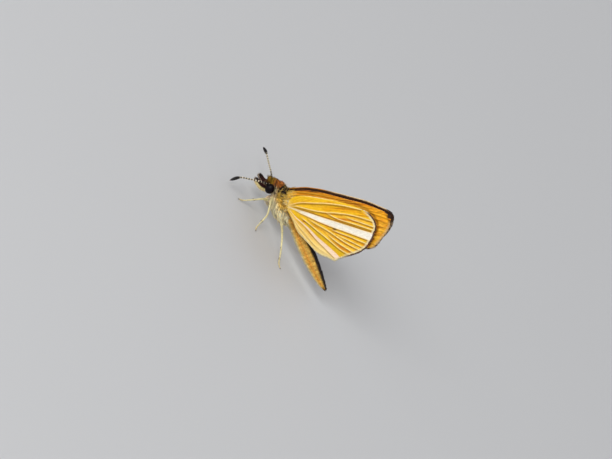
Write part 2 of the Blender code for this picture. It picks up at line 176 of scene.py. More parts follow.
# Wings: a plan in (u, v), where u runs from the root to the tip at
# WING_ANGLE above the body's axis and v towards the leading edge
WING_ANGLE = 50.0
COARSE = 0.12
FAN_RADIUS = 5.0
FOREWING_ROOT = (-1.0, 2.5)
FOREWING_DRAWN_IN = {"left": 0.0, "right": 0.12}
FOREWING_OUTLINE = (
    (0.05, 0.00), (0.26, 0.21), (0.47, 0.32), (1.18, 0.54), (1.79, 0.67), (2.48, 0.72), (3.10, 0.74),
    (4.46, 0.69), (5.20, 0.65), (6.52, 0.59), (7.25, 0.49), (7.89, 0.37), (8.46, 0.24), (8.83, 0.02),
    (9.01, -0.24), (9.02, -0.52), (8.98, -0.82), (8.87, -1.14), (8.69, -1.52), (8.43, -1.94),
    (8.17, -2.34), (7.90, -2.66), (7.40, -2.86), (6.60, -2.78), (4.00, -2.05), (1.80, -1.20),
    (0.30, -0.45),
)
FOREWING_VEINS = (
    ((0.10, 0.02), (0.60, 0.06), (2.50, 0.28), (5.20, 0.18), (7.50, -0.02), (9.01, -0.26)),
    (
        (0.10, -0.06), (0.60, -0.12), (2.40, -0.52), (4.20, -0.80), (5.40, -1.05), (7.10, -1.50),
        (8.66, -1.60),
    ),
    ((0.60, 0.30), (2.60, 0.52), (4.60, 0.52), (5.40, 0.62)),
    ((2.60, 0.32), (4.80, 0.38), (6.50, 0.56)),
    ((4.00, 0.26), (6.00, 0.28), (7.80, 0.37)),
    ((5.00, 0.19), (6.90, 0.14), (8.72, 0.08)),
    ((5.30, 0.10), (7.10, -0.26), (9.00, -0.62)),
    ((5.00, -0.60), (7.00, -0.82), (8.92, -0.98)),
    ((5.20, -0.98), (7.10, -1.20), (8.79, -1.30)),
    ((3.60, -0.70), (5.60, -1.40), (7.10, -1.85), (8.43, -1.93)),
    ((2.60, -0.56), (4.60, -1.40), (8.04, -2.48)),
    ((0.60, -0.34), (3.00, -1.30), (7.50, -2.82)),
)

HINDWING_ROOT = (0.0, 2.45)
HINDWING_OUTLINE = (
    (0.05, 0.02), (0.07, 0.20), (0.26, 0.62), (0.60, 0.89), (1.11, 1.08), (1.83, 1.19), (2.70, 1.24),
    (3.57, 1.26), (4.50, 1.23), (5.30, 1.16), (5.95, 1.05), (6.40, 0.90), (6.83, 0.64), (7.14, 0.34),
    (7.33, 0.00), (7.37, -0.34), (7.26, -0.68), (7.20, -1.02), (7.02, -1.44), (6.78, -1.90), (6.36, -2.32),
    (5.78, -2.66), (5.24, -2.92), (4.78, -3.14), (4.44, -3.40), (3.95, -3.28), (3.30, -3.18), (2.86, -3.02),
    (2.20, -2.54), (1.70, -2.18), (1.28, -1.88), (1.00, -1.58), (0.74, -1.16), (0.42, -0.76), (0.16, -0.36),
)
HINDWING_VEINS = (
    (
        (0.09, 0.10), (0.48, 0.26), (0.90, 0.46), (1.46, 0.62),
        (2.18, 0.73), (3.32, 0.93), (4.72, 1.03), (6.15, 0.98),
    ),
    (
        (0.20, 0.05), (0.78, 0.18), (1.22, 0.19), (2.24, 0.16),
        (3.40, 0.21), (4.12, 0.33), (5.52, 0.41), (7.14, 0.24),
    ),
    ((3.26, 0.19), (3.65, 0.09), (4.35, -0.10), (5.45, -0.22), (6.48, -0.35), (7.34, -0.47)),
    ((4.90, 0.20), (5.41, 0.08), (6.15, -0.02), (6.89, -0.14), (7.33, -0.17)),
    ((3.70, -1.00), (4.33, -1.12), (4.83, -1.21), (5.57, -1.32), (6.30, -1.49), (6.92, -1.62)),
    ((1.90, -0.62), (2.96, -0.95), (3.81, -1.25), (4.74, -1.66), (5.48, -1.94), (6.50, -2.24)),
    ((4.40, -1.38), (5.29, -1.58), (6.20, -1.84), (6.74, -1.98)),
    ((3.60, -1.46), (4.61, -1.98), (5.53, -2.35), (6.02, -2.56)),
    ((1.20, -0.52), (1.97, -0.90), (2.86, -1.38), (3.88, -1.93), (4.81, -2.44), (5.64, -2.75)),
    (
        (0.50, -0.52), (1.01, -1.07), (1.47, -1.50), (2.25, -2.16), (2.90, -2.62), (3.70, -2.98),
        (4.35, -3.30),
    ),
    ((0.22, -0.30), (0.80, -1.00), (1.20, -1.55), (1.70, -2.02), (2.30, -2.48)),
)
RAY_UPPER = (
    (0.10, 0.02), (0.66, -0.01), (1.10, -0.04), (1.98, -0.12), (3.17, -0.26), (4.21, -0.35),
    (5.53, -0.50), (6.66, -0.64), (7.60, -0.72),
)
RAY_LOWER = (
    (7.60, -1.44), (6.98, -1.34), (6.29, -1.22), (5.25, -1.04), (4.06, -0.88), (2.93, -0.69),
    (2.33, -0.55), (1.28, -0.32), (0.83, -0.18), (0.10, -0.04),
)
SECOND_RAY = (
    (0.30, -0.26), (0.97, -0.74), (1.35, -0.96), (2.03, -1.38), (2.80, -1.97), (3.76, -2.57), (4.48, -3.04),
    (4.80, -3.30),
)
SECOND_RAY_WIDTHS = (0.02, 0.04, 0.05, 0.08, 0.12, 0.16, 0.18, 0.18)
HINDWING_SPOTS = (((4.17, -0.95), 0.15, "wing_dark", 1.0), ((1.62, -0.86), 0.13, "ember", 0.75))
SPOT_STRETCH = (0.55, 1.0)
FRINGE_SPOT = (7.00, -1.72)
FRINGE_ROWS = 3

# Hair beside a wing's root: half the size and the middle of its patch in the plan
SHOULDER_SIZE = (0.24, 0.42)
SHOULDER_PLACE = {"forewing": (-0.10, -0.18), "hindwing": (-0.14, 0.06)}

# Colour patches of the thorax: x, z, half length, half height, colour and strength
THORAX_PATCHES = (
    (-1.55, 2.85, 0.50, 0.55, "collar", 1.0),
    # A near-black patch in the gap between the collar and the forewing's root.
    (-1.12, 2.45, 0.42, 0.27, "hair_dark", 2.0),
    (-0.95, 2.16, 0.36, 0.20, "yellow", 1.0),
    (-0.35, 2.00, 0.60, 0.28, "yellow", 0.95),
    (-1.30, 1.55, 0.40, 0.50, "breast_pink", 0.8),
)

# Side of each tuft's patch in the unwrap, and how many distances are worked out at once
BAKE_PATCH = 0.003
PAIRS_AT_ONCE = 2_000_000

# Light and camera: where each lamp stands from the aim, and its size in metres
LIGHTS = (
    ("key", (-0.45, -0.90, 0.75), 0.30),
    ("fill", (-0.8, -0.8, 0.15), 0.45),
    ("back", (0.2, 0.9, 0.8), 0.40),
)
LIGHT_REACH = 0.45
SKY_COLOUR = (0.93, 0.95, 1.0, 1.0)
CAMERA_AIM = (2.32, -1.02, 2.96)
SENSOR_WIDTH = 36.0


def unit(vectors):
    """The vectors at length one."""
    return vectors / np.maximum(np.linalg.norm(vectors, axis=-1, keepdims=True), 1e-9)


def ease(value, low, high):
    """0 below low, 1 above high and a smooth step between."""
    share = np.clip((value - low) / (high - low), 0.0, 1.0)
    return share * share * (3.0 - 2.0 * share)


def bell(value, width):
    """A smooth hump round zero."""
    return np.exp(-((value / width) ** 2))


def mixed(first, second, share):
    """Colours on the way from the first to the second."""
    share = np.asarray(share)[..., None]
    return np.asarray(first) * (1.0 - share) + np.asarray(second) * share


def linear(colour):
    """A display colour as linear light."""
    colour = np.asarray(colour, float)
    return np.where(colour <= 0.04045, colour / 12.92, ((colour + 0.055) / 1.055) ** 2.4)


def curve_points(before, start, end, after, count):
    """Points of the Catmull-Rom curve from start towards end."""
    t = (np.arange(count) / count)[:, None]
    return 0.5 * (
        2.0 * start
        + (end - before) * t
        + (2.0 * before - 5.0 * start + 4.0 * end - after) * t ** 2
        + (3.0 * start - before - 3.0 * end + after) * t ** 3
    )


def smooth_line(points, step, axes=3):
    """Points about a step apart on a smooth curve through the given ones."""
    points = np.asarray(points, float)
    padded = np.vstack((points[:1], points, points[-1:]))
    line = []
    for before, start, end, after in zip(padded, padded[1:], padded[2:], padded[3:]):
        count = max(1, round(np.linalg.norm((end - start)[:axes]) / step))
        line.append(curve_points(before, start, end, after, count))
    return np.vstack(line + [points[-1:]])


def smooth_loop(points, step):
    """The same round a closed outline."""
    points = np.asarray(points, float)
    around = zip(np.roll(points, 1, 0), points, np.roll(points, -1, 0), np.roll(points, -2, 0))
    loop = []
    for before, start, end, after in around:
        count = max(1, round(np.linalg.norm(end - start) / step))
        loop.append(curve_points(before, start, end, after, count))
    return np.vstack(loop)


def walked_along(line):
    """How far along a line each of its points lies."""
    steps = np.linalg.norm(np.diff(line, axis=0), axis=1)
    return np.concatenate(([0.0], np.cumsum(steps)))


def near_line(points, line):
    """Each point's distance to a line, and where on the line, as a point number with a fraction."""
    gaps, places = [], []
    span = line[1:] - line[:-1]
    length = np.maximum((span ** 2).sum(1), 1e-12)
    parts = max(1, len(points) * len(line) // PAIRS_AT_ONCE)
    for some in np.array_split(points, parts):
        offset = some[:, None, :] - line[None, :-1, :]
        share = np.clip((offset * span).sum(2) / length, 0.0, 1.0)
        gap = np.linalg.norm(offset - share[..., None] * span, axis=2)
        nearest = gap.argmin(1)
        rows = np.arange(len(some))
        gaps.append(gap[rows, nearest])
        places.append(nearest + share[rows, nearest])
    return np.concatenate(gaps), np.concatenate(places)


def read_along(values, places):
    """Values of a line's points, read at places between them."""
    values = np.asarray(values, float)
    first = np.clip(places.astype(int), 0, len(values) - 2)
    share = places - first
    if values.ndim > 1:
        share = share[:, None]
    return values[first] * (1.0 - share) + values[first + 1] * share


def inside_loop(points, loop):
    """True for the points inside a closed outline."""
    x, y = points[:, 0:1], points[:, 1:2]
    x1, y1 = loop[:, 0], loop[:, 1]
    x2, y2 = np.roll(x1, -1), np.roll(y1, -1)
    crossing = (y1 > y) != (y2 > y)
    rise = np.where(np.abs(y2 - y1) < 1e-12, 1e-12, y2 - y1)
    left = x < (x2 - x1) * (y - y1) / rise + x1
    return (crossing & left).sum(1) % 2 == 1


def depth_in_loop(points, loop):
    """Distance from an outline, positive inside it."""
    gap, _ = near_line(points, np.vstack((loop, loop[:1])))
    return np.where(inside_loop(points, loop), gap, -gap)


def head_turn():
    """The head's rotation: nose down, a little to the left, right side up."""
    yaw = Matrix.Rotation(math.radians(HEAD_YAW), 3, "Z")
    pitch = Matrix.Rotation(math.radians(HEAD_PITCH), 3, "Y")
    roll = Matrix.Rotation(math.radians(HEAD_ROLL), 3, "X")
    return np.array(yaw @ pitch @ roll)


HEAD_TURN = head_turn()


def from_head(points, side=1.0):
    """Points of the head's right side, or their mirror images, in the body's axes."""
    mirrored = np.asarray(points, float)[..., :3] * (1.0, side, 1.0)
    return HEAD_CENTRE + mirrored @ HEAD_TURN.T


def into_head(points):
    """Points of the body in the head's axes."""
    return (points - HEAD_CENTRE) @ HEAD_TURN


def into_eye(points, side):
    """Points of the body in an eye's axes, where the eye's surface is at a distance of one."""
    return (points - from_head(EYE_PLACE, side)) @ HEAD_TURN / EYE_RADII


class Shell:
    """Collects a piece's points, faces and a value of each kind for every point."""

    def __init__(self):
        self.points = []
        self.faces = []
        self.values = {}
        self.count = 0

    def add(self, points, faces, **values):
        self.points.append(np.asarray(points, float))
        self.faces.extend(np.asarray(block, int) + self.count for block in faces)
        for name, value in values.items():
            self.values.setdefault(name, []).append(np.asarray(value, float))
        self.count += len(points)

    def mesh(self, name):
        """A mesh with the values as attributes, where uv is a UV map and marking a colour."""
        points = np.vstack(self.points)
        corners = np.concatenate([block.ravel() for block in self.faces])
        sizes = np.concatenate([np.full(len(block), block.shape[1]) for block in self.faces])
        mesh = bpy.data.meshes.new(name)
        mesh.vertices.add(len(points))
        mesh.vertices.foreach_set("co", points.astype(np.float32).ravel())
        mesh.loops.add(len(corners))
        mesh.loops.foreach_set("vertex_index", corners.astype(np.int32))
        mesh.polygons.add(len(sizes))
        mesh.polygons.foreach_set("loop_start", (np.cumsum(sizes) - sizes).astype(np.int32))
        mesh.update(calc_edges=True)
        mesh.validate()
        for kind, blocks in self.values.items():
            values = np.concatenate(blocks).astype(np.float32)
            if kind in ("OFBake", "plan"):
                layer = mesh.uv_layers.new(name=kind)
                layer.data.foreach_set("uv", values[corners].ravel())
            elif values.ndim > 1:
                layer = mesh.attributes.new(kind, "FLOAT_COLOR", "POINT")
                alpha = np.ones((len(values), 1), np.float32)
                layer.data.foreach_set("color", np.hstack((values, alpha)).ravel())
            else:
                layer = mesh.attributes.new(kind, "FLOAT", "POINT")
                layer.data.foreach_set("value", values)
        mesh.polygons.foreach_set("use_smooth", np.ones(len(sizes), bool))
        return mesh


def tube(path, radii, sides=12):
    """Points and faces of a closed round tube; radii may be pairs, across and up."""
    path = np.asarray(path, float)
    radii = np.asarray(radii, float)
    if radii.ndim == 1:
        radii = np.repeat(radii[:, None], 2, 1)
    along = unit(np.gradient(path, axis=0))
    across = np.empty_like(path)
    last = np.array((0.0, 1.0, 0.0))
    for index, way in enumerate(along):
        last = last - way * last.dot(way)
        last /= np.linalg.norm(last)
        across[index] = last
    up = np.cross(along, across)
    angle = math.tau * np.arange(sides) / sides
    rings = (
        path[:, None]
        + across[:, None] * (np.cos(angle)[:, None] * radii[:, None, 0:1])
        + up[:, None] * (np.sin(angle)[:, None] * radii[:, None, 1:2])
    )
    points = np.vstack((rings.reshape(-1, 3), path[:1], path[-1:]))
    side = np.arange(sides)
    after = (side + 1) % sides
    quads = []
    for ring in range(len(path) - 1):
        start = ring * sides
        quads.append(np.column_stack((side, after, after + sides, side + sides)) + start)
    first = len(path) * sides
    end = first - sides
    start_cap = np.column_stack((after, side, np.full(sides, first)))
    end_cap = np.column_stack((side + end, after + end, np.full(sides, first + 1)))
    return points, [np.vstack(quads), start_cap, end_cap]


def ball(centre, radii, turn=None):
    """Points and faces of an ellipsoid."""
    bm = bmesh.new()
    bmesh.ops.create_icosphere(bm, subdivisions=4, radius=1.0)
    points = np.array([vert.co for vert in bm.verts]) * radii
    faces = np.array([[vert.index for vert in face.verts] for face in bm.faces])
    bm.free()
    if turn is not None:
        points = points @ turn.T
    return points + centre, [faces]


def place_piece(name, mesh, finish, nodes=()):
    """Puts a finished mesh in the frame: its material, body, slot and the nodes it stands for."""
    mesh.transform(TO_ROW)
    mesh.materials.clear()
    mesh.materials.append(finish)
    piece = bpy.data.objects.new(name, mesh)
    bpy.context.scene.collection.objects.link(piece)
    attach(piece, BODY)
    if nodes:
        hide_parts(*nodes)


def leg_route(name, side_name):
    """A leg's points and radii on one side, with the far toes set a little apart."""
    route = np.array(LEG_ROUTES[name])
    route[:, 1] *= SIDES[side_name]
    if side_name == "right":
        route[:, 0] += RIGHT_TOE_SHIFT[name] * np.linspace(0.0, 1.0, len(route))
    return route


def leg_line(name, side_name, step=LINE_STEP):
    """The leg's smooth centre line with its radius, thinner at each joint of the foot."""
    line = smooth_line(leg_route(name, side_name), step)
    walked = walked_along(line[:, :3])
    left = walked[-1] - walked
    foot = ease(FOOT_LENGTH - left, 0.0, 0.08)
    joints = bell((left / FOOT_JOINT) % 1.0 - 0.5, 0.22)
    line[:, 3] *= 1.0 - 0.22 * foot * joints
    return line


def palp_line(side_name, step):
    """The palp's centre line with its radius."""
    points = from_head(PALP_PATH, SIDES[side_name])
    return smooth_line(np.column_stack((points, PALP_PATH[:, 3])), step)


def abdomen_line(step):
    """The abdomen's centre line with a radius that dips between its rings."""
    stations = np.array([(x, 0.0, z, radius) for x, z, radius in ABDOMEN_STATIONS])
    line = smooth_line(stations, step)
    share = (line[:, 0] - line[0, 0]) / (line[-1, 0] - line[0, 0])
    inner = (share * ABDOMEN_SEGMENTS + 0.5) % 1.0 - 0.5
    line[:, 3] -= ABDOMEN_GROOVE * bell(inner, 0.16) * ease(1.0 - share, 0.02, 0.15)
    return line


def body_lines(step):
    """Centre lines with radii of what has its own lie of the coat, by name."""
    lines = {"abdomen": abdomen_line(step)}
    for side_name in SIDES:
        lines["palp_" + side_name] = palp_line(side_name, step)
        for leg in LEG_ROUTES:
            lines[f"{leg}_{side_name}"] = leg_line(leg, side_name, step)
    return lines


def body_eggs():
    """Ellipsoids of the trunk and head under the coat."""
    eggs = [(THORAX_CENTRE, THORAX_RADII, None)]
    eggs.extend((centre, radii, None) for centre, radii in TRUNK_LUMPS)
    for side in SIDES.values():
        for (x, y, z), radii in WING_SOCKETS:
            eggs.append(((x, y * side, z), radii, None))
    eggs.append((HEAD_CENTRE, HEAD_RADII, HEAD_TURN))
    for centre, radii in HEAD_LUMPS:
        eggs.append((from_head(centre), radii, HEAD_TURN))
    return eggs


def evened(points, edges, rounds):
    """Smooths a mesh without shrinking it."""
    start, end = edges[:, 0], edges[:, 1]
    uses = np.bincount(edges.ravel(), minlength=len(points))[:, None]
    for step in range(2 * rounds):
        total = np.zeros_like(points)
        np.add.at(total, start, points[end])
        np.add.at(total, end, points[start])
        pull = 0.5 if step % 2 == 0 else -0.52
        points = points + pull * (total / uses - points)
    return points


def fused_mesh(shell, voxel):
    """One seamless mesh of overlapping closed forms."""
    mesh = shell.mesh("fused")
    loose = bpy.data.objects.new("fused", mesh)
    bpy.context.scene.collection.objects.link(loose)
    remesh = loose.modifiers.new("remesh", "REMESH")
    remesh.mode = "VOXEL"
    remesh.voxel_size = voxel
    depsgraph = bpy.context.evaluated_depsgraph_get()
    fused = bpy.data.meshes.new_from_object(loose.evaluated_get(depsgraph))
    bpy.data.objects.remove(loose, do_unlink=True)
    bpy.data.meshes.remove(mesh)
    points = np.empty(len(fused.vertices) * 3, np.float32)
    fused.vertices.foreach_get("co", points)
    edges = np.empty(len(fused.edges) * 2, np.int32)
    fused.edges.foreach_get("vertices", edges)
    points = evened(points.reshape(-1, 3).astype(float), edges.reshape(-1, 2), 6)
    faces = np.array([face.vertices[:] for face in fused.polygons])
    bpy.data.meshes.remove(fused)
    return points, faces


def put(tree, socket, value):
    """Links an output to a socket, or sets the socket's own value."""
    if isinstance(value, bpy.types.NodeSocket):
        tree.links.new(value, socket)
    elif isinstance(value, (tuple, list, np.ndarray)) and len(value) == 3 and socket.type == "RGBA":
        socket.default_value = (*value, 1.0)
    else:
        socket.default_value = value


def calc(tree, operation, first, second=0.0, third=None):
    """A Math node's result."""
    node = tree.nodes.new("ShaderNodeMath")
    node.operation = operation
    put(tree, node.inputs[0], first)
    put(tree, node.inputs[1], second)
    if third is not None:
        put(tree, node.inputs[2], third)
    return node.outputs[0]


def step_up(tree, value, low, high):
    """A smooth step of a value from 0 at low to 1 at high."""
    node = tree.nodes.new("ShaderNodeMapRange")
    node.interpolation_type = "SMOOTHSTEP"
    put(tree, node.inputs["Value"], value)
    put(tree, node.inputs["From Min"], low)
    put(tree, node.inputs["From Max"], high)
    return node.outputs["Result"]


def blend_colour(tree, share, first, second, kind="MIX"):
    """A Mix node's colour."""
    node = tree.nodes.new("ShaderNodeMix")
    node.data_type = "RGBA"
    node.blend_type = kind
    node.clamp_factor = True
    put(tree, node.inputs["Factor"], share)
    put(tree, node.inputs[6], first)
    put(tree, node.inputs[7], second)
    return node.outputs[2]


def object_place(tree):
    """The place on the piece itself, in metres."""
    return tree.nodes.new("ShaderNodeTexCoord").outputs["Object"]


def attribute(tree, name, output="Fac"):
    """A value that a mesh carries at each of its points."""
    node = tree.nodes.new("ShaderNodeAttribute")
    node.attribute_name = name
    return node.outputs[output]


def stretched(tree, vector, scale):
    """A position scaled by a different amount along each axis."""
    node = tree.nodes.new("ShaderNodeMapping")
    put(tree, node.inputs["Vector"], vector)
    node.inputs["Scale"].default_value = scale
    return node.outputs["Vector"]


def noise(tree, vector, scale, detail=2.0, roughness=0.5):
    """Smooth noise from 0 to 1."""
    node = tree.nodes.new("ShaderNodeTexNoise")
    put(tree, node.inputs["Vector"], vector)
    put(tree, node.inputs["Scale"], scale)
    node.inputs["Detail"].default_value = detail
    node.inputs["Roughness"].default_value = roughness
    return node.outputs["Fac"]


def new_group(name, inputs, outputs):
    """An empty node group with the sockets named in two dictionaries, and its two ends."""
    group = bpy.data.node_groups.new(name, "ShaderNodeTree")
    for label, (kind, value) in inputs.items():
        socket = group.interface.new_socket(name=label, in_out="INPUT", socket_type=kind)
        if value is not None:
            socket.default_value = value
    for label, kind in outputs.items():
        group.interface.new_socket(name=label, in_out="OUTPUT", socket_type=kind)
    return group, group.nodes.new("NodeGroupInput").outputs, group.nodes.new("NodeGroupOutput").inputs


def use_group(tree, group, **values):
    """Places a group in a material with its own values and returns its outputs."""
    node = tree.nodes.new("ShaderNodeGroup")
    node.node_tree = group
    for label, value in values.items():
        put(tree, node.inputs[label.replace("_", " ")], value)
    return node.outputs


def hair_tone_group():
    """Colour of a hair or scale: darker at its root, lighter at its tip, each a little different."""
    name = "hair_tone"
    if name in bpy.data.node_groups:
        return bpy.data.node_groups[name]
    inputs = {
        "Marking": ("NodeSocketColor", None),
        "Shade": ("NodeSocketFloat", 0.5),
        "Tip": ("NodeSocketFloat", 1.0),
        "Root Dark": ("NodeSocketFloat", 0.5),
        "Spread": ("NodeSocketFloat", 0.3),
    }
    group, given, result = new_group(name, inputs, {"Color": "NodeSocketColor"})
    rising = step_up(group, given["Tip"], 0.0, 0.7)
    low = calc(group, "SUBTRACT", 1.0, given["Root Dark"])
    root = calc(group, "ADD", low, calc(group, "MULTIPLY", rising, given["Root Dark"]))
    centred = calc(group, "SUBTRACT", given["Shade"], 0.5)
    own = calc(group, "ADD", 1.0, calc(group, "MULTIPLY", centred, given["Spread"]))
    level = calc(group, "MULTIPLY", root, own)
    grey = group.nodes.new("ShaderNodeCombineColor")
    for channel in range(3):
        put(group, grey.inputs[channel], level)
    toned = blend_colour(group, 1.0, given["Marking"], grey.outputs[0], "MULTIPLY")
    put(group, result["Color"], toned)
    return group


def line_group():
    """A line of a given half width round the zero of a distance."""
    name = "drawn_line"
    if name in bpy.data.node_groups:
        return bpy.data.node_groups[name]
    inputs = {
        "Distance": ("NodeSocketFloat", 0.0),
        "Half Width": ("NodeSocketFloat", 0.05),
        "Softness": ("NodeSocketFloat", 0.03),
    }
    group, given, result = new_group(name, inputs, {"Mask": "NodeSocketFloat"})
    away = calc(group, "ABSOLUTE", given["Distance"])
    outer = calc(group, "ADD", given["Half Width"], given["Softness"])
    inner = calc(group, "SUBTRACT", given["Half Width"], given["Softness"])
    mask = calc(group, "SUBTRACT", 1.0, step_up(group, away, inner, outer))
    put(group, result["Mask"], mask)
    return group


def scale_rows_group():
    """Rows of small flat scales: their height and a shade of its own for each."""
    name = "scale_rows"
    if name in bpy.data.node_groups:
        return bpy.data.node_groups[name]
    inputs = {
        "Vector": ("NodeSocketVector", None),
        "Scale": ("NodeSocketFloat", 100.0),
        "Ragged": ("NodeSocketFloat", 0.9),
    }
    group, given, result = new_group(name, inputs, {"Height": "NodeSocketFloat", "Shade": "NodeSocketFloat"})
    cells = group.nodes.new("ShaderNodeTexVoronoi")
    cells.feature = "F1"
    put(group, cells.inputs["Vector"], stretched(group, given["Vector"], (0.45, 1.0, 1.0)))
    put(group, cells.inputs["Scale"], given["Scale"])
    put(group, cells.inputs["Randomness"], given["Ragged"])
    dome = calc(group, "SUBTRACT", 1.0, step_up(group, cells.outputs["Distance"], 0.1, 0.8))
    split = group.nodes.new("ShaderNodeSeparateColor")
    put(group, split.inputs[0], cells.outputs["Color"])
    put(group, result["Height"], dome)
    put(group, result["Shade"], split.outputs[0])
    return group


def new_material(name, roughness, **sockets):
    """A material with a Principled BSDF, its tree and the BSDF."""
    made = bpy.data.materials.new(name)
    made.use_nodes = True
    shader = made.node_tree.nodes["Principled BSDF"]
    shader.inputs["Roughness"].default_value = roughness
    for label, value in sockets.items():
        put(made.node_tree, shader.inputs[label.replace("_", " ")], value)
    return made, made.node_tree, shader


def raise_bump(tree, shader, height, distance):
    """Leads a height into the shader's normal; the distance is in metres."""
    bump = tree.nodes.new("ShaderNodeBump")
    bump.inputs["Strength"].default_value = 1.0
    bump.inputs["Distance"].default_value = distance
    put(tree, bump.inputs["Height"], height)
    put(tree, shader.inputs["Normal"], bump.outputs["Normal"])


def coat_material(name, root_dark, spread):
    """Hair or scales of the body, in the markings that each tuft carries."""
    made, tree, shader = new_material(name, 0.55, Sheen_Weight=0.05, Specular_IOR_Level=0.2)
    tone = use_group(
        tree,
        hair_tone_group(),
        Marking=attribute(tree, "marking", "Color"),
        Shade=attribute(tree, "shade"),
        Tip=attribute(tree, "tip"),
        Root_Dark=root_dark,
        Spread=spread,
    )
    put(tree, shader.inputs["Base Color"], tone["Color"])
    return made


def place_coat(name, shell, root_dark, spread):
    """Puts a finished coat in the frame, with a material of its own."""
    place_piece(name, shell.mesh(name), coat_material(name, root_dark, spread))


def skin_material():
    """Skin under the coat, in the same markings, darkened as painted shade under the coat, with a fine grain
    of flat scales.
    """
    made, tree, shader = new_material("body_skin", 0.75, Specular_IOR_Level=0.25)
    place = object_place(tree)
    grain = use_group(tree, scale_rows_group(), Vector=place, Scale=14000.0)
    tone = use_group(
        tree,
        hair_tone_group(),
        Marking=attribute(tree, "marking", "Color"),
        Shade=grain["Shade"],
        Tip=attribute(tree, "tip"),
        # Darkens the skin by its tip value, as painted shade under the coat.
        Root_Dark=0.7,
        Spread=0.5,
    )
    put(tree, shader.inputs["Base Color"], tone["Color"])
    raise_bump(tree, shader, grain["Height"], 0.000012)
    return made


def eye_material(colours):
    """Dark glossy facets with purple reflection painted in patches."""
    made, tree, shader = new_material("eye_facets", 0.40, Specular_IOR_Level=0.15)
    place = object_place(tree)
    cloud = step_up(tree, noise(tree, place, 3500.0), 0.42, 0.62)
    # Purple patches painted into the colour as reflection.
    shade = blend_colour(tree, cloud, linear(colours.eye_dark), linear(colours.eye_glow))
    seam = attribute(tree, "seam")
    put(tree, shader.inputs["Base Color"], blend_colour(tree, seam, shade, linear(colours.eye_dark)))
    return made


def antenna_material(colours):
    """A pale shaft checked with black rings, and a black club with a rusty point."""
    made, tree, shader = new_material("antenna_scales", 0.5, Specular_IOR_Level=0.35)
    place = object_place(tree)
    grain = use_group(tree, scale_rows_group(), Vector=place, Scale=16000.0)
    ring = step_up(tree, attribute(tree, "ring"), 0.44, 0.50)
    under = attribute(tree, "underside")
    pale = blend_colour(tree, under, linear(colours.antenna_pale), linear(colours.cream))
    shaft = blend_colour(tree, ring, pale, linear(colours.antenna_dark))
    club = step_up(tree, attribute(tree, "club"), 0.02, 0.14)
    dark = blend_colour(tree, club, shaft, linear(colours.antenna_dark))
    point = step_up(tree, attribute(tree, "club"), 0.86, 1.0)
    tipped = blend_colour(tree, point, dark, linear(colours.rust))
    spotted = calc(tree, "MULTIPLY", grain["Shade"], 0.2)
    put(tree, shader.inputs["Base Color"], blend_colour(tree, spotted, tipped, linear(colours.antenna_dark)))
    raise_bump(tree, shader, grain["Height"], 0.000010)
    return made


def claw_material(colours):
    """Amber brown horn, darker at the points."""
    made, tree, shader = new_material("claw_horn", 0.3)
    tip = attribute(tree, "tip")
    place = object_place(tree)
    grain = noise(tree, place, 30000.0)
    shade = blend_colour(tree, tip, linear(colours.claw_base), linear(colours.claw_tip))
    mottled = calc(tree, "MULTIPLY", grain, 0.3)
    put(tree, shader.inputs["Base Color"], blend_colour(tree, mottled, shade, linear(colours.claw_tip)))
    return made


def wing_material(name, colours, light_colour, vein_colour):
    """Flat scales in the wing's markings and painted shade, with streaks that fan out from its root and pale
    veins.
    """
    made, tree, shader = new_material(name, 0.65, Sheen_Weight=0.03, Specular_IOR_Level=0.18)
    plan = tree.nodes.new("ShaderNodeUVMap")
    plan.uv_map = "plan"
    grain = use_group(tree, scale_rows_group(), Vector=plan.outputs["UV"], Scale=120.0)
    fan = attribute(tree, "fan", "Vector")
    wide = noise(tree, stretched(tree, fan, (0.07, 1.0, 1.0)), 4.2, 3.0, 0.6)
    fine = noise(tree, stretched(tree, fan, (0.12, 1.0, 1.0)), 13.0, 2.0, 0.6)
    streaky = attribute(tree, "streaky")
    dark = calc(tree, "MULTIPLY", step_up(tree, wide, 0.52, 0.68), streaky)
    light = calc(tree, "MULTIPLY", step_up(tree, wide, 0.46, 0.32), calc(tree, "MULTIPLY", streaky, 0.7))
    faint = calc(tree, "MULTIPLY", streaky, 0.45)
    threads = calc(tree, "MULTIPLY", step_up(tree, fine, 0.50, 0.72), faint)
    ground = blend_colour(tree, light, attribute(tree, "marking", "Color"), linear(light_colour))
    ground = blend_colour(tree, dark, ground, linear(colours.wing_streak))
    ground = blend_colour(tree, threads, ground, linear(colours.wing_brown))
    vein = attribute(tree, "vein")
    line = use_group(tree, line_group(), Distance=vein, Half_Width=0.030, Softness=0.026)["Mask"]
    lined = calc(tree, "MULTIPLY", line, attribute(tree, "vein_light"))
    veined = blend_colour(tree, lined, ground, linear(vein_colour))
    ray = step_up(tree, attribute(tree, "ray"), -0.03, 0.04)
    rayed = blend_colour(tree, ray, veined, attribute(tree, "ray_tone", "Color"))
    spotted = calc(tree, "MULTIPLY", grain["Shade"], 0.16)
    grained = blend_colour(tree, spotted, rayed, linear(colours.wing_brown))
    put(tree, shader.inputs["Base Color"], grained)
    raise_bump(tree, shader, calc(tree, "MULTIPLY_ADD", fine, 0.7, grain["Height"]), 0.000010)
    return made


def floor_material(colours):
    """A pale matt floor with a trace of unevenness."""
    made, tree, shader = new_material("pale_floor", 0.8)
    place = object_place(tree)
    cloud = calc(tree, "MULTIPLY", noise(tree, place, 12.0, 3.0), 0.12)
    shade = blend_colour(tree, cloud, linear(colours.floor), linear(colours.floor_shade))
    put(tree, shader.inputs["Base Color"], shade)
    return made


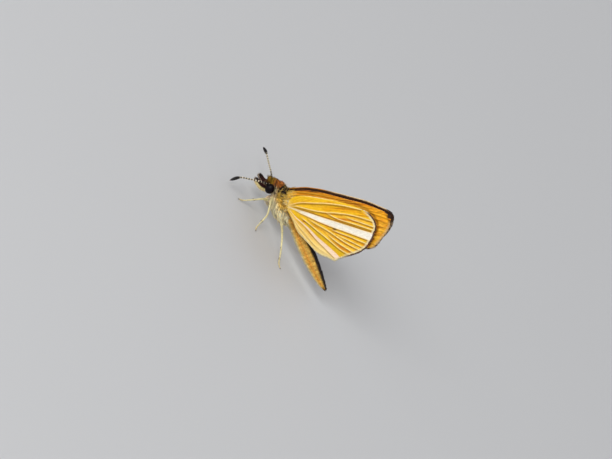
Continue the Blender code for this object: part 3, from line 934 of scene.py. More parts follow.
def tufts(shell, roots, normals, lies, length, width, lift, curl, rng, uv, marking,
          profile=(1.0, 0.75), thickness=0.5, sink=0.02, shade=None):
    """Adds tapered, bent tufts or scales: each a three-sided body from its root to a point.

    Length, width and lift hold one number for each tuft; profile gives the width at each
    ring from the root on, and thickness the tuft's height as a share of its width."""
    count = len(roots)
    lies = unit(lies - normals * (lies * normals).sum(1, keepdims=True))
    across = np.cross(normals, lies)
    stations = np.linspace(0.0, 1.0, len(profile) + 1)
    if shade is None:
        shade = rng.random(count)
    rise = np.sin(lift)
    flat = np.cos(lift)
    rings = []
    for number, share in enumerate(stations):
        forward = (flat * share * length)[:, None]
        upward = ((rise * share - curl * share ** 2) * length - sink)[:, None]
        centre = roots + lies * forward + normals * upward
        if number == len(profile):
            rings.append(centre[:, None, :])
            break
        half = (width * profile[number] / 2.0)[:, None]
        side = across * half
        top = normals * (half * 2.0 * thickness)
        rings.append(np.stack((centre - side, centre + side, centre + top), 1))
    points = np.concatenate(rings, 1)
    size = points.shape[1]
    quads, tris = [], [(2, 1, 0)]
    for ring in range(len(profile) - 1):
        for corner in range(3):
            after = (corner + 1) % 3
            start = ring * 3
            quads.append((start + corner, start + after, start + 3 + after, start + 3 + corner))
    last = (len(profile) - 1) * 3
    tris.extend((last + corner, last + (corner + 1) % 3, size - 1) for corner in range(3))
    offset = (np.arange(count) * size)[:, None, None]
    share = np.append(np.repeat(stations[:-1], 3), 1.0)
    spread = np.append(np.tile((-0.5, 0.5, 0.0), len(profile)), 0.0)
    local = np.column_stack((share - 0.5, spread)) * BAKE_PATCH
    values = {
        "tip": np.tile(share, count),
        "shade": np.repeat(shade, size),
        "marking": np.repeat(marking, size, 0),
        "OFBake": (uv[:, None, :] + local).reshape(-1, 2),
    }
    blocks = [(np.array(tris)[None] + offset).reshape(-1, 3)]
    if quads:
        blocks.append((np.array(quads)[None] + offset).reshape(-1, 4))
    shell.add(points.reshape(-1, 3), blocks, **values)


# Colours as they look on a display, each with its label
COLOURS = {
    "tawny": ("Back Hair", (0.70, 0.46, 0.18)),
    "collar": ("Collar Hair", (0.76, 0.44, 0.17)),
    "breast_pink": ("Front Breast Hair", (0.98, 0.85, 0.72)),
    "olive": ("Crown Hair", (0.60, 0.45, 0.05)),
    "hair_dark": ("Dark Hair", (0.10, 0.03, 0.02)),
    "maroon": ("Face Patch", (0.24, 0.06, 0.05)),
    "cream": ("Cream Hair", (0.93, 0.87, 0.68)),
    "palp_cream": ("Palp Hair", (1.00, 0.93, 0.66)),
    "grey_white": ("Breast Hair", (1.00, 0.96, 0.80)),
    "yellow": ("Yellow Scales", (1.00, 0.82, 0.32)),
    "gold": ("Hindwing Ground", (0.98, 0.77, 0.11)),
    "olive_gold": ("Hindwing Lower Field", (0.90, 0.76, 0.10)),
    "wing_orange": ("Hindwing Orange", (0.97, 0.66, 0.05)),
    "anal_cream": ("Hindwing Inner Field", (1.00, 0.88, 0.56)),
    "wing_streak": ("Wing Streaks", (0.80, 0.44, 0.04)),
    "fore_gold": ("Forewing Ground", (0.98, 0.67, 0.03)),
    "fore_light": ("Forewing Veins", (1.00, 0.76, 0.22)),
    "fore_orange": ("Forewing Orange", (0.86, 0.48, 0.06)),
    "fore_strip": ("Forewing Front Strip", (0.87, 0.55, 0.05)),
    "ember": ("Red Brown Marks", (0.66, 0.30, 0.10)),
    # Brown of the wing streaks and scales, also laid on as painted shadow beside the veins, along the rays
    # and at the hindwing's edge.
    "wing_brown": ("Wing Shade", (0.50, 0.28, 0.05)),
    "wing_dark": ("Wing Edge", (0.17, 0.09, 0.05)),
    "upper_brown": ("Hindwing Upper Face", (0.40, 0.24, 0.10)),
    "vein": ("Pale Veins", (1.00, 0.90, 0.62)),
    "white": ("White Ray", (1.00, 0.97, 0.90)),
    "blush": ("Ray Blush", (1.00, 0.88, 0.76)),
    "costa": ("Leading Edge", (1.00, 0.87, 0.64)),
    "fringe_grey": ("Forewing Fringe", (0.78, 0.66, 0.50)),
    "fringe_brown": ("Hindwing Fringe", (0.44, 0.31, 0.24)),
    "belly_tan": ("Abdomen", (1.00, 0.83, 0.40)),
    "belly_stripe": ("Abdomen Side Stripe", (0.96, 0.60, 0.16)),
    "leg_pale": ("Leg Scales", (1.00, 0.95, 0.72)),
    "antenna_pale": ("Antenna Rings", (0.99, 0.93, 0.80)),
    "antenna_dark": ("Antenna Club", (0.05, 0.03, 0.03)),
    "rust": ("Antenna Point", (0.42, 0.20, 0.10)),
    "eye_dark": ("Eye", (0.03, 0.012, 0.02)),
    # Purple painted as reflection on the eyes.
    "eye_glow": ("Eye Bloom", (0.11, 0.03, 0.10)),
    "claw_base": ("Claw Base", (0.52, 0.32, 0.14)),
    "claw_tip": ("Claw Tip", (0.15, 0.08, 0.05)),
    "floor": ("Floor", (0.80, 0.80, 0.80)),
    "floor_shade": ("Floor Shade", (0.73, 0.73, 0.74)),
}


def colour_setting(label, shade):
    """A colour that the user can change."""
    return FloatVectorProperty(
        name=label,
        description="Colour of the " + label.lower(),
        subtype="COLOR_GAMMA",
        size=3,
        min=0.0,
        max=1.0,
        default=shade,
    )


class ButterflyColours(PropertyGroup):
    """Colours of the skin, the coat, the wings and the floor."""


ButterflyColours.__annotations__ = {key: colour_setting(*value) for key, value in COLOURS.items()}


class ButterflySizes(PropertyGroup):
    """Sizes of the skin, the wings and the coat, in millimetres."""

    voxel: FloatProperty(
        name="Skin Detail", description="Cell size of the skin, in mm", default=0.030, min=0.02,
    )
    wing_step: FloatProperty(name="Wing Detail", description="Mesh step of the wings, in mm", default=0.045)
    membrane: FloatProperty(name="Membrane", description="Thickness of a wing, in mm", default=0.05)
    vein_height: FloatProperty(
        name="Vein Height", description="Rise of a vein over the membrane, in mm", default=0.03,
    )
    vein_width: FloatProperty(
        name="Vein Half Width", description="Half the width of a vein, in mm", default=0.07,
    )
    fold: FloatProperty(
        name="Fold Depth", description="Depth of the folds between veins, in mm", default=0.05,
    )
    fringe: FloatProperty(name="Fringe Length", description="Length of the wing fringe, in mm", default=0.13)
    hair_back: FloatProperty(name="Back Hair", description="Length of the back's hair, in mm", default=0.40)
    hair_breast: FloatProperty(
        name="Breast Hair", description="Length of the breast's hair, in mm", default=0.62,
    )
    hair_width: FloatProperty(
        name="Hair Width", description="Width of a lock of hair at its root, in mm", default=0.034,
    )
    scale_length: FloatProperty(
        name="Scale Length", description="Length of a body scale, in mm", default=0.17,
    )


class ButterflyCoat(PropertyGroup):
    """How many tufts the coat has."""

    thorax: IntProperty(name="Thorax Tufts", description="Tufts of hair on the thorax", default=11000, min=1)
    locks: IntProperty(
        name="Thorax Locks", description="Locks that these tufts are drawn into", default=420, min=1,
    )
    head: IntProperty(name="Head Tufts", description="Tufts on the head", default=6500, min=1)
    palp: IntProperty(name="Palp Tufts", description="Tufts on each palp", default=2600, min=1)
    abdomen: IntProperty(name="Abdomen Scales", description="Scales on the abdomen", default=9000, min=1)
    leg: IntProperty(name="Leg Scales", description="Scales on each leg", default=900, min=1)
    wing_hair: IntProperty(
        name="Wing Hair", description="Hairs at the root of each wing", default=1500, min=1,
    )
    seed: IntProperty(name="Seed", description="Start of the random draws", default=7, min=0)


class ButterflyStage(PropertyGroup):
    """Floor, light and camera."""

    floor_size: FloatProperty(name="Floor", description="Side of the floor", default=3.0, unit="LENGTH")
    distance: FloatProperty(
        name="Camera Distance", description="From the camera to its aim", default=0.30, unit="LENGTH",
    )
    lens: FloatProperty(name="Lens", description="Focal length in mm", default=229.4)
    elevation: FloatProperty(
        name="Elevation", description="Camera height over the side view", subtype="ANGLE",
        default=math.radians(25.0),
    )
    roll: FloatProperty(
        name="Roll", description="Turn of the picture, anticlockwise", subtype="ANGLE",
        default=math.radians(59.2),
    )
    key: FloatProperty(name="Key Light", description="Power of the main light", default=1.40, unit="POWER")
    fill: FloatProperty(name="Fill Light", description="Power of the fill light", default=0.6, unit="POWER")
    back: FloatProperty(
        name="Back Light", description="Power of the light from behind", default=0.45, unit="POWER",
    )
    sky: FloatProperty(name="Surround", description="Strength of the pale surround", default=0.38)


def thorax_marking(points, colours):
    """Tawny above, rusty at the collar, yellow at the wing roots and pale below."""
    x, y, z = points.T
    marking = mixed(linear(colours.grey_white), linear(colours.tawny), ease(z, 1.85, 2.25))
    for patch_x, patch_z, wide, high, name, strength in THORAX_PATCHES:
        share = strength * bell(np.hypot((x - patch_x) / wide, (z - patch_z) / high), 1.0)
        marking = mixed(marking, linear(getattr(colours, name)), np.minimum(share, 1.0))
    return marking


def head_marking(points, colours):
    """Olive crown, dark maroon before the eye, a pale ring behind it and a cream chin."""
    x, y, z = into_head(points).T
    crown = linear(colours.olive)
    out = np.repeat(crown[None], len(points), 0)
    face = ease(-x, 0.05, 0.3) * ease(z + 0.28, 0.0, 0.15) * (1.0 - ease(z, 0.12, 0.3))
    out = mixed(out, linear(colours.maroon), face)
    chin = 1.0 - ease(z, -0.30, -0.12)
    out = mixed(out, linear(colours.cream), chin)
    out = mixed(out, linear(colours.collar), ease(x, -0.14, 0.16) * ease(z, 0.05, 0.25) * 0.9)
    behind = ease(x, 0.10, 0.24) * ease(np.abs(y), 0.15, 0.28) * (1.0 - ease(z, 0.15, 0.35))
    return mixed(out, linear(colours.cream), behind * (1.0 - ease(x, 0.42, 0.50)))


def palp_marking(share, out_way, side, colours):
    """Cream outside and below, dark above, on the inner face and at the tip."""
    top = np.maximum(ease(out_way[:, 2], 0.20, 0.48), ease(-out_way[:, 1] * side, 0.0, 0.4))
    out = mixed(linear(colours.palp_cream), linear(colours.maroon), top)
    tip = ease(share, 0.74, 0.9)
    return mixed(out, linear(colours.hair_dark), tip * 0.9)


def leg_marking(share, colours):
    """Pale grey at the hip, then pale yellow, a little browner at the foot."""
    pale = mixed(linear(colours.grey_white), linear(colours.leg_pale), ease(share, 0.08, 0.22))
    return mixed(pale, linear(colours.belly_tan), 0.35 * ease(share, 0.80, 0.95))


def abdomen_marking(share, out_way, colours):
    """A black line above, widened near the base by painted shadow of the hindwing, golden sides with an
    orange stripe, a pale line below and a dark end.
    """
    up = out_way[:, 2]
    angle = np.arctan2(out_way[:, 1], up)
    streaks = 0.5 + 0.5 * np.sin(19.0 * angle + 2.0 * np.sin(7.0 * angle))
    out = np.repeat(linear(colours.belly_tan)[None], len(share), 0)
    out = mixed(out, linear(colours.belly_stripe), np.maximum(0.75 * bell(up - 0.12, 0.20), 0.45 * streaks))
    out = mixed(out, linear(colours.cream), ease(-up, 0.32, 0.58))
    # Near the base the black line widens as painted shadow of the hindwing on the abdomen.
    line = ease(up, 0.72 - 0.35 * ease(share, 0.55, 1.0) - 0.15 * bell(share, 0.25), 0.90)
    out = mixed(out, linear(colours.hair_dark), line)
    return mixed(out, linear(colours.hair_dark), 0.8 * ease(share, 0.94, 1.0))


def body_regions(points):
    """Name of the region that each point of the skin belongs to."""
    thorax = np.linalg.norm((points - THORAX_CENTRE) / THORAX_RADII, axis=1) - 1.0
    border = NECK_BORDER - 0.45 * np.maximum(points[:, 2] - 2.0, 0.0)
    thorax = np.where(points[:, 0] < border, 9.0, thorax * 0.7)
    head = (np.linalg.norm(into_head(points) / HEAD_RADII, axis=1) - 1.0) * 0.4
    names, gaps = ["thorax", "head"], [thorax, head]
    for name, line in body_lines(0.15).items():
        gap, place = near_line(points, line[:, :3])
        gaps.append(gap - read_along(line[:, 3], place))
        names.append(name)
    return np.array(names)[np.argmin(gaps, 0)]


def along_region(name, points):
    """Share of the way along a region's line, the line's direction and the way out from it."""
    line = body_lines(0.1)[name]
    _, place = near_line(points, line[:, :3])
    way = unit(read_along(np.gradient(line[:, :3], axis=0), place))
    centre = read_along(line[:, :3], place)
    return place / (len(line) - 1), way, unit(points - centre)


def marking_at(name, points, colours):
    """The marking of a region's skin, and of the coat that grows there."""
    if name == "thorax":
        return thorax_marking(points, colours)
    if name == "head":
        return head_marking(points, colours)
    share, _, out = along_region(name, points)
    if name == "abdomen":
        return abdomen_marking(share, out, colours)
    if name.startswith("palp"):
        return palp_marking(share, out, SIDES[name[5:]], colours)
    return leg_marking(share, colours)


# Faces, normals and regions of the finished skin, kept for the coat
STORE = {}


class BUTTERFLY_OT_skin(Operator):
    """Make the seamless skin of the body, palps and legs."""

    bl_idname = "butterfly.skin"
    bl_label = "Skin"

    def execute(self, context):
        sizes, colours = context.scene.butterfly_sizes, context.scene.butterfly_colours
        shell = Shell()
        for centre, radii, turn in body_eggs():
            shell.add(*ball(centre, radii, turn))
        for line in body_lines(0.03).values():
            shell.add(*tube(line[:, :3], line[:, 3]))
        points, faces = fused_mesh(shell, sizes.voxel)
        for side in SIDES.values():
            offset = into_eye(points, side)
            rim = bell(np.linalg.norm(offset, axis=1) - 1.12, 0.12)
            points = points + (offset @ HEAD_TURN.T) * (0.02 * rim)[:, None]
        corners = points[faces]
        normals = np.cross(corners[:, 2] - corners[:, 0], corners[:, 3] - corners[:, 1])
        regions = body_regions(points)
        marking = np.zeros_like(points)
        # Low tip values darken the skin as painted shade under the coat, most under the hair of the thorax,
        # head and palps.
        tip = np.full(len(points), 0.45)
        for name in np.unique(regions):
            some = regions == name
            marking[some] = marking_at(name, points[some], colours)
            if name in ("thorax", "head") or name.startswith("palp"):
                tip[some] = 0.15 + 0.2 * (name == "thorax") * ease(1.9 - points[some, 2], 0.0, 0.5)
        skin = Shell()
        skin.add(points, [faces], marking=marking, tip=tip)
        nodes = ["thorax", "head", "abdomen"]
        for side_name in SIDES:
            nodes.append("palp_" + side_name)
            nodes.extend(f"{leg}_{side_name}" for leg in LEG_ROUTES)
        place_piece("body_skin", skin.mesh("body_skin"), skin_material(), nodes)
        STORE["skin"] = (corners, unit(normals), regions[faces[:, 0]])
        return {"FINISHED"}


def skin_spots(name, count, rng):
    """Random places on a region's skin: points and normals, spread evenly by area."""
    corners, normals, regions = STORE["skin"]
    some = regions == name
    corners, normals = corners[some], normals[some]
    clear = ~hidden_by_eye(corners.mean(1))
    corners, normals = corners[clear], normals[clear]
    area = np.linalg.norm(np.cross(corners[:, 2] - corners[:, 0], corners[:, 3] - corners[:, 1]), axis=1)
    picked = rng.choice(len(corners), count, p=area / area.sum())
    first, second = rng.random((2, count, 1))
    a, b, c, d = corners[picked].transpose(1, 0, 2)
    near = a + (b - a) * first
    far = d + (c - d) * first
    return near + (far - near) * second, normals[picked]


def hidden_by_eye(points):
    """True for points of the head inside an eye."""
    inside = np.zeros(len(points), bool)
    for side in SIDES.values():
        inside |= np.linalg.norm(into_eye(points, side), axis=1) < 1.0
    return inside


def unwrap(share, out_way):
    """Unwrap of a region: along it and round it, from 0 to 1."""
    return np.column_stack((share, 0.5 + np.arctan2(out_way[:, 1], out_way[:, 2]) / math.tau))


class BUTTERFLY_OT_body_coat(Operator):
    """Cover thorax, head, palps, abdomen and legs with hair and scales."""

    bl_idname = "butterfly.body_coat"
    bl_label = "Body Coat"

    def execute(self, context):
        if "skin" not in STORE:
            raise RuntimeError("Make the skin first")
        scene = context.scene
        sizes, colours, coat = scene.butterfly_sizes, scene.butterfly_colours, scene.butterfly_coat
        thorax_coat(sizes, colours, coat)
        head_coat(sizes, colours, coat)
        palp_coat(sizes, colours, coat)
        abdomen_coat(sizes, colours, coat)
        leg_coat(sizes, colours, coat)
        return {"FINISHED"}


def gathered(points, lies, lift, locks, pull, loose, rng):
    """Draws tufts together in locks, each with a lie, a lift and a shade of its own."""
    centres = points[rng.choice(len(points), locks, replace=False)]
    lock = np.concatenate([
        np.linalg.norm(some[:, None] - centres, axis=2).argmin(1) for some in np.array_split(points, 8)
    ])
    own = rng.normal(0.0, 1.0, (locks, 5))[lock]
    lies = unit(lies) + np.reshape(loose, (-1, 1)) * own[:, :3] + pull * (centres[lock] - points)
    shade = np.clip(0.5 + 0.30 * own[:, 4] + rng.normal(0.0, 0.12, len(points)), 0.0, 1.0)
    return lies, lift + 0.8 * loose * own[:, 3], shade, rng.random(locks)[lock]


def thorax_coat(sizes, colours, coat):
    """Hair that leans back and up over the back, and hangs in long pale locks below."""
    rng = np.random.default_rng(coat.seed)
    points, normals = skin_spots("thorax", coat.thorax, rng)
    x, y, z = points.T
    above = ease(z, 1.85, 2.25)
    below = 1.0 - ease(z, 1.25, 1.85)
    front = 1.0 - ease(x, -1.15, -0.75)
    sideways = np.sign(y) * ease(np.abs(y), 0.1, 0.5)
    lies = np.column_stack((
        0.80 - 1.25 * front * above + 0.35 * below,
        0.12 * sideways,
        0.55 * above + 0.5 * front * above - 0.42 * (1.0 - above),
    ))
    length = sizes.hair_back + (sizes.hair_breast - sizes.hair_back) * below + 0.08 * front * above
    under_wings = bell(x - 0.2, 0.8) * ease(np.abs(y), 0.4, 0.55) * (1.0 - below)
    length = length * rng.uniform(0.6, 1.15, len(points)) * (1.0 - 0.35 * under_wings)
    longer = rng.random(len(points)) < 0.06
    length *= np.where(longer, 1.35, 1.0)
    lift = np.radians(30.0 + 10.0 * above - 8.0 * below) * (1.0 - 0.4 * under_wings)
    loose = 0.22 - 0.12 * below
    lies, lift, shade, pick = gathered(points, lies, lift, coat.locks, 2.2, loose, rng)
    width = sizes.hair_width * rng.uniform(0.7, 1.2, len(points))
    turned = np.arctan2(y, z - THORAX_CENTRE[2]) / math.tau
    uv = np.column_stack((0.05 + 0.9 * (x + 1.5) / 3.2, 0.5 + turned))
    marking = thorax_marking(points, colours)
    flank = ease(np.abs(y), 0.36, 0.50)
    dark_lock = pick < 0.03 + 0.31 * above * (1.0 - 0.85 * flank)
    dark = dark_lock | (rng.random(len(points)) < 0.02 + 0.04 * above)
    marking[dark] = mixed(marking, linear(colours.hair_dark), 0.85)[dark]
    marking[longer] = mixed(marking, linear(colours.belly_tan), 0.6)[longer]
    shell = Shell()
    tufts(shell, points, normals, lies, length, width, lift, 0.3, rng, uv, marking,
          profile=(0.8, 1.0, 0.6), thickness=0.4, shade=shade)
    place_coat("thorax_hair", shell, 0.32, 0.65)


def head_coat(sizes, colours, coat):
    """Bristling crown, short flat scales round the eyes and on the face."""
    rng = np.random.default_rng(coat.seed + 1)
    points, normals = skin_spots("head", coat.head, rng)
    x, y, z = into_head(points).T
    crown = ease(z, 0.10, 0.34)
    front = ease(-x, 0.1, 0.4)
    local = np.column_stack((
        0.3 - 1.1 * front - 0.5 * crown,
        0.30 * np.sign(y) * ease(np.abs(y), 0.05, 0.3),
        0.5 + 0.5 * crown,
    ))
    near_eye = np.zeros(len(points))
    for side in SIDES.values():
        outside = np.linalg.norm(into_eye(points, side), axis=1) - 1.0
        near_eye = np.maximum(near_eye, bell(outside, 0.22))
    length = (0.14 + 0.20 * crown + 0.12 * front) * (1.0 - 0.75 * near_eye)
    length = length * rng.uniform(0.5, 1.25, len(points))
    lift = np.radians(26.0 + 26.0 * crown + 8.0 * front) * (1.0 - 0.7 * near_eye)
    lies, lift, shade, pick = gathered(points, local @ HEAD_TURN.T, lift, coat.locks // 3, 2.5, 0.22, rng)
    width = sizes.hair_width * (0.75 + 0.1 * crown) * rng.uniform(0.7, 1.2, len(points))
    uv = np.column_stack((0.5 + 0.8 * x, 0.5 + np.arctan2(y, z) / math.tau))
    marking = head_marking(points, colours)
    dark = pick < 0.34 * crown + 0.05
    marking[dark] = mixed(marking, linear(colours.hair_dark), 0.8)[dark]
    shell = Shell()
    tufts(shell, points, normals, lies, length, width, lift, 0.2, rng, uv, marking,
          thickness=0.4, sink=0.01, shade=shade)
    place_coat("head_hair", shell, 0.5, 0.6)


def palp_coat(sizes, colours, coat):
    """Shaggy palps: hair that runs forward, longest below and at the tip."""
    for number, side_name in enumerate(SIDES):
        rng = np.random.default_rng(coat.seed + 2 + number)
        name = "palp_" + side_name
        points, normals = skin_spots(name, coat.palp, rng)
        share, way, out_way = along_region(name, points)
        lies = way + rng.normal(0.0, 0.14, way.shape)
        tip = ease(share, 0.6, 0.95)
        lower = ease(-out_way[:, 2], -0.2, 0.6)
        length = (0.16 + 0.05 * tip + 0.06 * lower) * rng.uniform(0.6, 1.25, len(share))
        lift = np.radians(22.0 + 10.0 * tip + 8.0 * lower) + rng.normal(0.0, 0.14, len(share))
        width = sizes.hair_width * 0.75 * rng.uniform(0.7, 1.2, len(share))
        marking = palp_marking(share, out_way, SIDES[side_name], colours)
        pale = (rng.random(len(share)) < 0.30) & (out_way[:, 2] < -0.2)
        marking[pale] = linear(colours.blush)
        shell = Shell()
        tufts(shell, points, normals, lies, length, width, lift, 0.15, rng,
              unwrap(share, out_way), marking, thickness=0.4, sink=0.01)
        place_coat(name + "_hair", shell, 0.45, 0.6)


def abdomen_coat(sizes, colours, coat):
    """Flat overlapping scales that point to the tail, with a short tuft at the end."""
    rng = np.random.default_rng(coat.seed + 4)
    points, normals = skin_spots("abdomen", coat.abdomen, rng)
    share, way, out_way = along_region("abdomen", points)
    end = ease(share, 0.93, 1.0)
    base = 1.0 - ease(share, 0.0, 0.22)
    lies = way + rng.normal(0.0, 0.07, way.shape)
    length = (sizes.scale_length + 0.06 * end + 0.20 * base) * rng.uniform(0.75, 1.2, len(share))
    lift = np.radians(9.0 + 8.0 * end + 10.0 * base) + rng.normal(0.0, 0.05, len(share))
    width = 0.075 * (1.0 - 0.4 * base) * rng.uniform(0.8, 1.2, len(share))
    marking = abdomen_marking(share, out_way, colours)
    shell = Shell()
    tufts(shell, points, normals, lies, length, width, lift, 0.05, rng,
          unwrap(share, out_way), marking, profile=(0.6, 1.0), thickness=0.12, sink=0.005)
    place_coat("abdomen_scales", shell, 0.08, 0.35)


def leg_coat(sizes, colours, coat):
    """Narrow scales along the legs, with looser hair on the thighs."""
    rng = np.random.default_rng(coat.seed + 5)
    shell = Shell()
    legs = [f"{leg}_{side_name}" for leg in LEG_ROUTES for side_name in SIDES]
    for column, name in enumerate(legs):
        points, normals = skin_spots(name, coat.leg, rng)
        clear = (points[:, 2] > 0.08) | (normals[:, 2] > 0.0)
        points, normals = points[clear], normals[clear]
        share, way, out_way = along_region(name, points)
        thigh = 1.0 - ease(share, 0.15, 0.45)
        lies = way + rng.normal(0.0, 0.10, way.shape)
        length = (0.085 + 0.10 * thigh) * rng.uniform(0.7, 1.25, len(share))
        lift = np.radians(10.0 + 12.0 * thigh) + rng.normal(0.0, 0.06, len(share))
        width = 0.026 * rng.uniform(0.8, 1.2, len(share))
        marking = leg_marking(share, colours)
        uv = unwrap(share, out_way)
        uv[:, 1] = (column + 0.05 + 0.9 * uv[:, 1]) / len(legs)
        tufts(shell, points, normals, lies, length, width, lift, 0.05, rng, uv, marking,
              thickness=0.3, sink=0.004)
    place_coat("leg_scales", shell, 0.35, 0.4)


def facet_ball():
    """Points and faces of a ball of domed facets, and which of the points lie in the seams."""
    bm = bmesh.new()
    bmesh.ops.create_icosphere(bm, subdivisions=5, radius=1.0)
    bm.verts.index_update()
    bm.faces.index_update()
    domes = np.array([vert.co for vert in bm.verts])
    seams = unit(np.array([face.calc_center_median() for face in bm.faces])) * EYE_SEAM
    faces = []
    for edge in bm.edges:
        start, end = edge.verts
        left, right = (face.index + len(domes) for face in edge.link_faces)
        faces.extend(((start.index, left, right), (end.index, right, left)))
    bm.free()
    points = np.vstack((domes, seams))
    faces = np.array(faces)
    corners = points[faces]
    normals = np.cross(corners[:, 1] - corners[:, 0], corners[:, 2] - corners[:, 0])
    inward = (normals * corners.mean(1)).sum(1) < 0.0
    faces[inward] = faces[inward][:, ::-1]
    return points, faces, np.repeat((0.0, 1.0), (len(domes), len(seams)))


class BUTTERFLY_OT_eyes(Operator):
    """Make the two eyes with their domed facets."""

    bl_idname = "butterfly.eyes"
    bl_label = "Eyes"

    def execute(self, context):
        finish = eye_material(context.scene.butterfly_colours)
        points, faces, seam = facet_ball()
        for side_name, side in SIDES.items():
            shell = Shell()
            centre = from_head(EYE_PLACE, side)
            shell.add(centre + (points * EYE_RADII) @ HEAD_TURN.T, [faces], seam=seam)
            name = "eye_" + side_name
            place_piece(name + "_facets", shell.mesh(name), finish, [name])
        return {"FINISHED"}


def over_tube(values, sides):
    """Values of a path's points, repeated for all points of the tube round it."""
    return np.concatenate((np.repeat(values, sides, 0), values[:1], values[-1:]))


class BUTTERFLY_OT_antennae(Operator):
    """Make the ringed antennae with their bent clubs."""

    bl_idname = "butterfly.antennae"
    bl_label = "Antennae"

    def execute(self, context):
        finish = antenna_material(context.scene.butterfly_colours)
        for side_name, side in SIDES.items():
            path = smooth_line(from_head(ANTENNA_PATHS[side_name], side), ANTENNA_STEP)
            walked = walked_along(path)
            left = walked[-1] - walked
            club = np.clip(1.0 - left / CLUB_LENGTH, 0.0, 1.0)
            ring = (walked / RING_LENGTH) % 1.0 + 0.34 * (1.0 - ease(walked, 0.8, 1.6))
            swell = np.sin(np.pi * np.clip(club * 1.05, 0.0, 1.0) ** 0.9)
            radius = SHAFT_RADIUS + (CLUB_RADIUS - SHAFT_RADIUS) * swell
            radius = radius * (1.0 - 0.10 * bell(ring - 0.97, 0.10) * (1.0 - ease(club, 0.0, 0.3)))
            radius = radius * (1.0 - 0.60 * ease(club, 0.80, 1.0))
            radius[:6] *= 1.35
            points, faces = tube(path, radius, ANTENNA_SIDES)
            centre = over_tube(path, ANTENNA_SIDES)
            under = ease(-(points - centre)[:, 2] / SHAFT_RADIUS, 0.0, 0.6)
            ring, club = over_tube(ring, ANTENNA_SIDES), over_tube(club, ANTENNA_SIDES)
            shell = Shell()
            shell.add(points, faces, ring=ring, club=club, underside=under)
            name = "antenna_" + side_name
            place_piece(name + "_rings", shell.mesh(name), finish, [name])
        return {"FINISHED"}


class BUTTERFLY_OT_claws(Operator):
    """Make the claws and the spurs of the legs."""

    bl_idname = "butterfly.claws"
    bl_label = "Claws and Spurs"

    def execute(self, context):
        shell = Shell()
        for leg in LEG_ROUTES:
            for side_name in SIDES:
                line = leg_line(leg, side_name)
                add_claws(shell, line)
                for share in SPUR_PLACES[leg]:
                    add_spurs(shell, line, share)
        finish = claw_material(context.scene.butterfly_colours)
        place_piece("claws_and_spurs", shell.mesh("claws"), finish)
        return {"FINISHED"}


def add_claws(shell, line):
    """The two hooked claws at the end of a foot."""
    toe = line[-1, :3]
    way = unit(line[-1, :3] - line[-6, :3])
    across = unit(np.cross(way, (0.0, 0.0, 1.0)))
    for claw in (-1.0, 1.0):
        spread = way * 0.10 + across * 0.045 * claw
        hook = np.array((
            toe + across * 0.018 * claw,
            toe + spread * 0.6 + (0.0, 0.0, 0.02),
            toe + spread,
            toe + spread * 1.15 - (0.0, 0.0, 0.035),
        ))
        hook[:, 2] = np.maximum(hook[:, 2], CLAW_LOWEST)
        add_spike(shell, hook, CLAW_RADIUS)


def add_spurs(shell, line, share):
    """The two spurs that stand off a leg at a share of its length."""
    row = int(share * (len(line) - 1))
    spot, radius = line[row, :3], line[row, 3]
    along = unit(line[row + 1, :3] - line[row - 1, :3])
    across = unit(np.cross(along, (0.0, 0.0, 1.0)))
    for spur in (-1.0, 1.0):
        out = across * spur
        hook = np.array((
            spot + out * radius * 0.7,
            spot + out * (radius + 0.04) + along * 0.10,
            spot + out * (radius + 0.05) + along * 0.24,
        ))
        add_spike(shell, hook, SPUR_RADIUS)


def add_spike(shell, points, radius):
    """A tapered, bent spike."""
    line = smooth_line(points, 0.02)
    share = np.linspace(0.0, 1.0, len(line))
    body, faces = tube(line, radius * (1.0 - 0.9 * share ** 1.5), 6)
    tip = np.concatenate((np.repeat(share, 6), (0.0, 1.0)))
    shell.add(body, faces, tip=tip)


def forewing_layer(u, v):
    """Distance of the forewing from the body's middle plane: the two wings close towards the tip."""
    return 0.42 + 0.017 * u + 0.20 * (1.0 - ease(u, 0.0, 1.1)) - 0.17 * ease(u, 5.0, 9.0)


def hindwing_layer(u, v):
    """Distance of the hindwing from the body's middle plane, bellied a little outwards."""
    return 0.90 - 0.12 * (1.0 - ease(u, 0.0, 1.0)) + 0.03 * bell(u - 3.5, 2.5) - 0.12 * ease(u, 5.0, 7.5)


def wing_root(kind, side_name):
    """A wing's root in x and z; the right forewing is drawn in a little behind the left one."""
    if kind == "hindwing":
        return HINDWING_ROOT
    lean, back = math.radians(WING_ANGLE), FOREWING_DRAWN_IN[side_name]
    return (FOREWING_ROOT[0] - back * math.cos(lean), FOREWING_ROOT[1] - back * math.sin(lean))


def in_body(plan, height, root, side):
    """Points of a wing's plan in the body's axes, height being the distance from its middle plane."""
    lean = math.radians(WING_ANGLE)
    u, v = plan[:, 0], plan[:, 1]
    x = root[0] + u * math.cos(lean) - v * math.sin(lean)
    z = root[1] + u * math.sin(lean) + v * math.cos(lean)
    return np.column_stack((x, height * side, z))


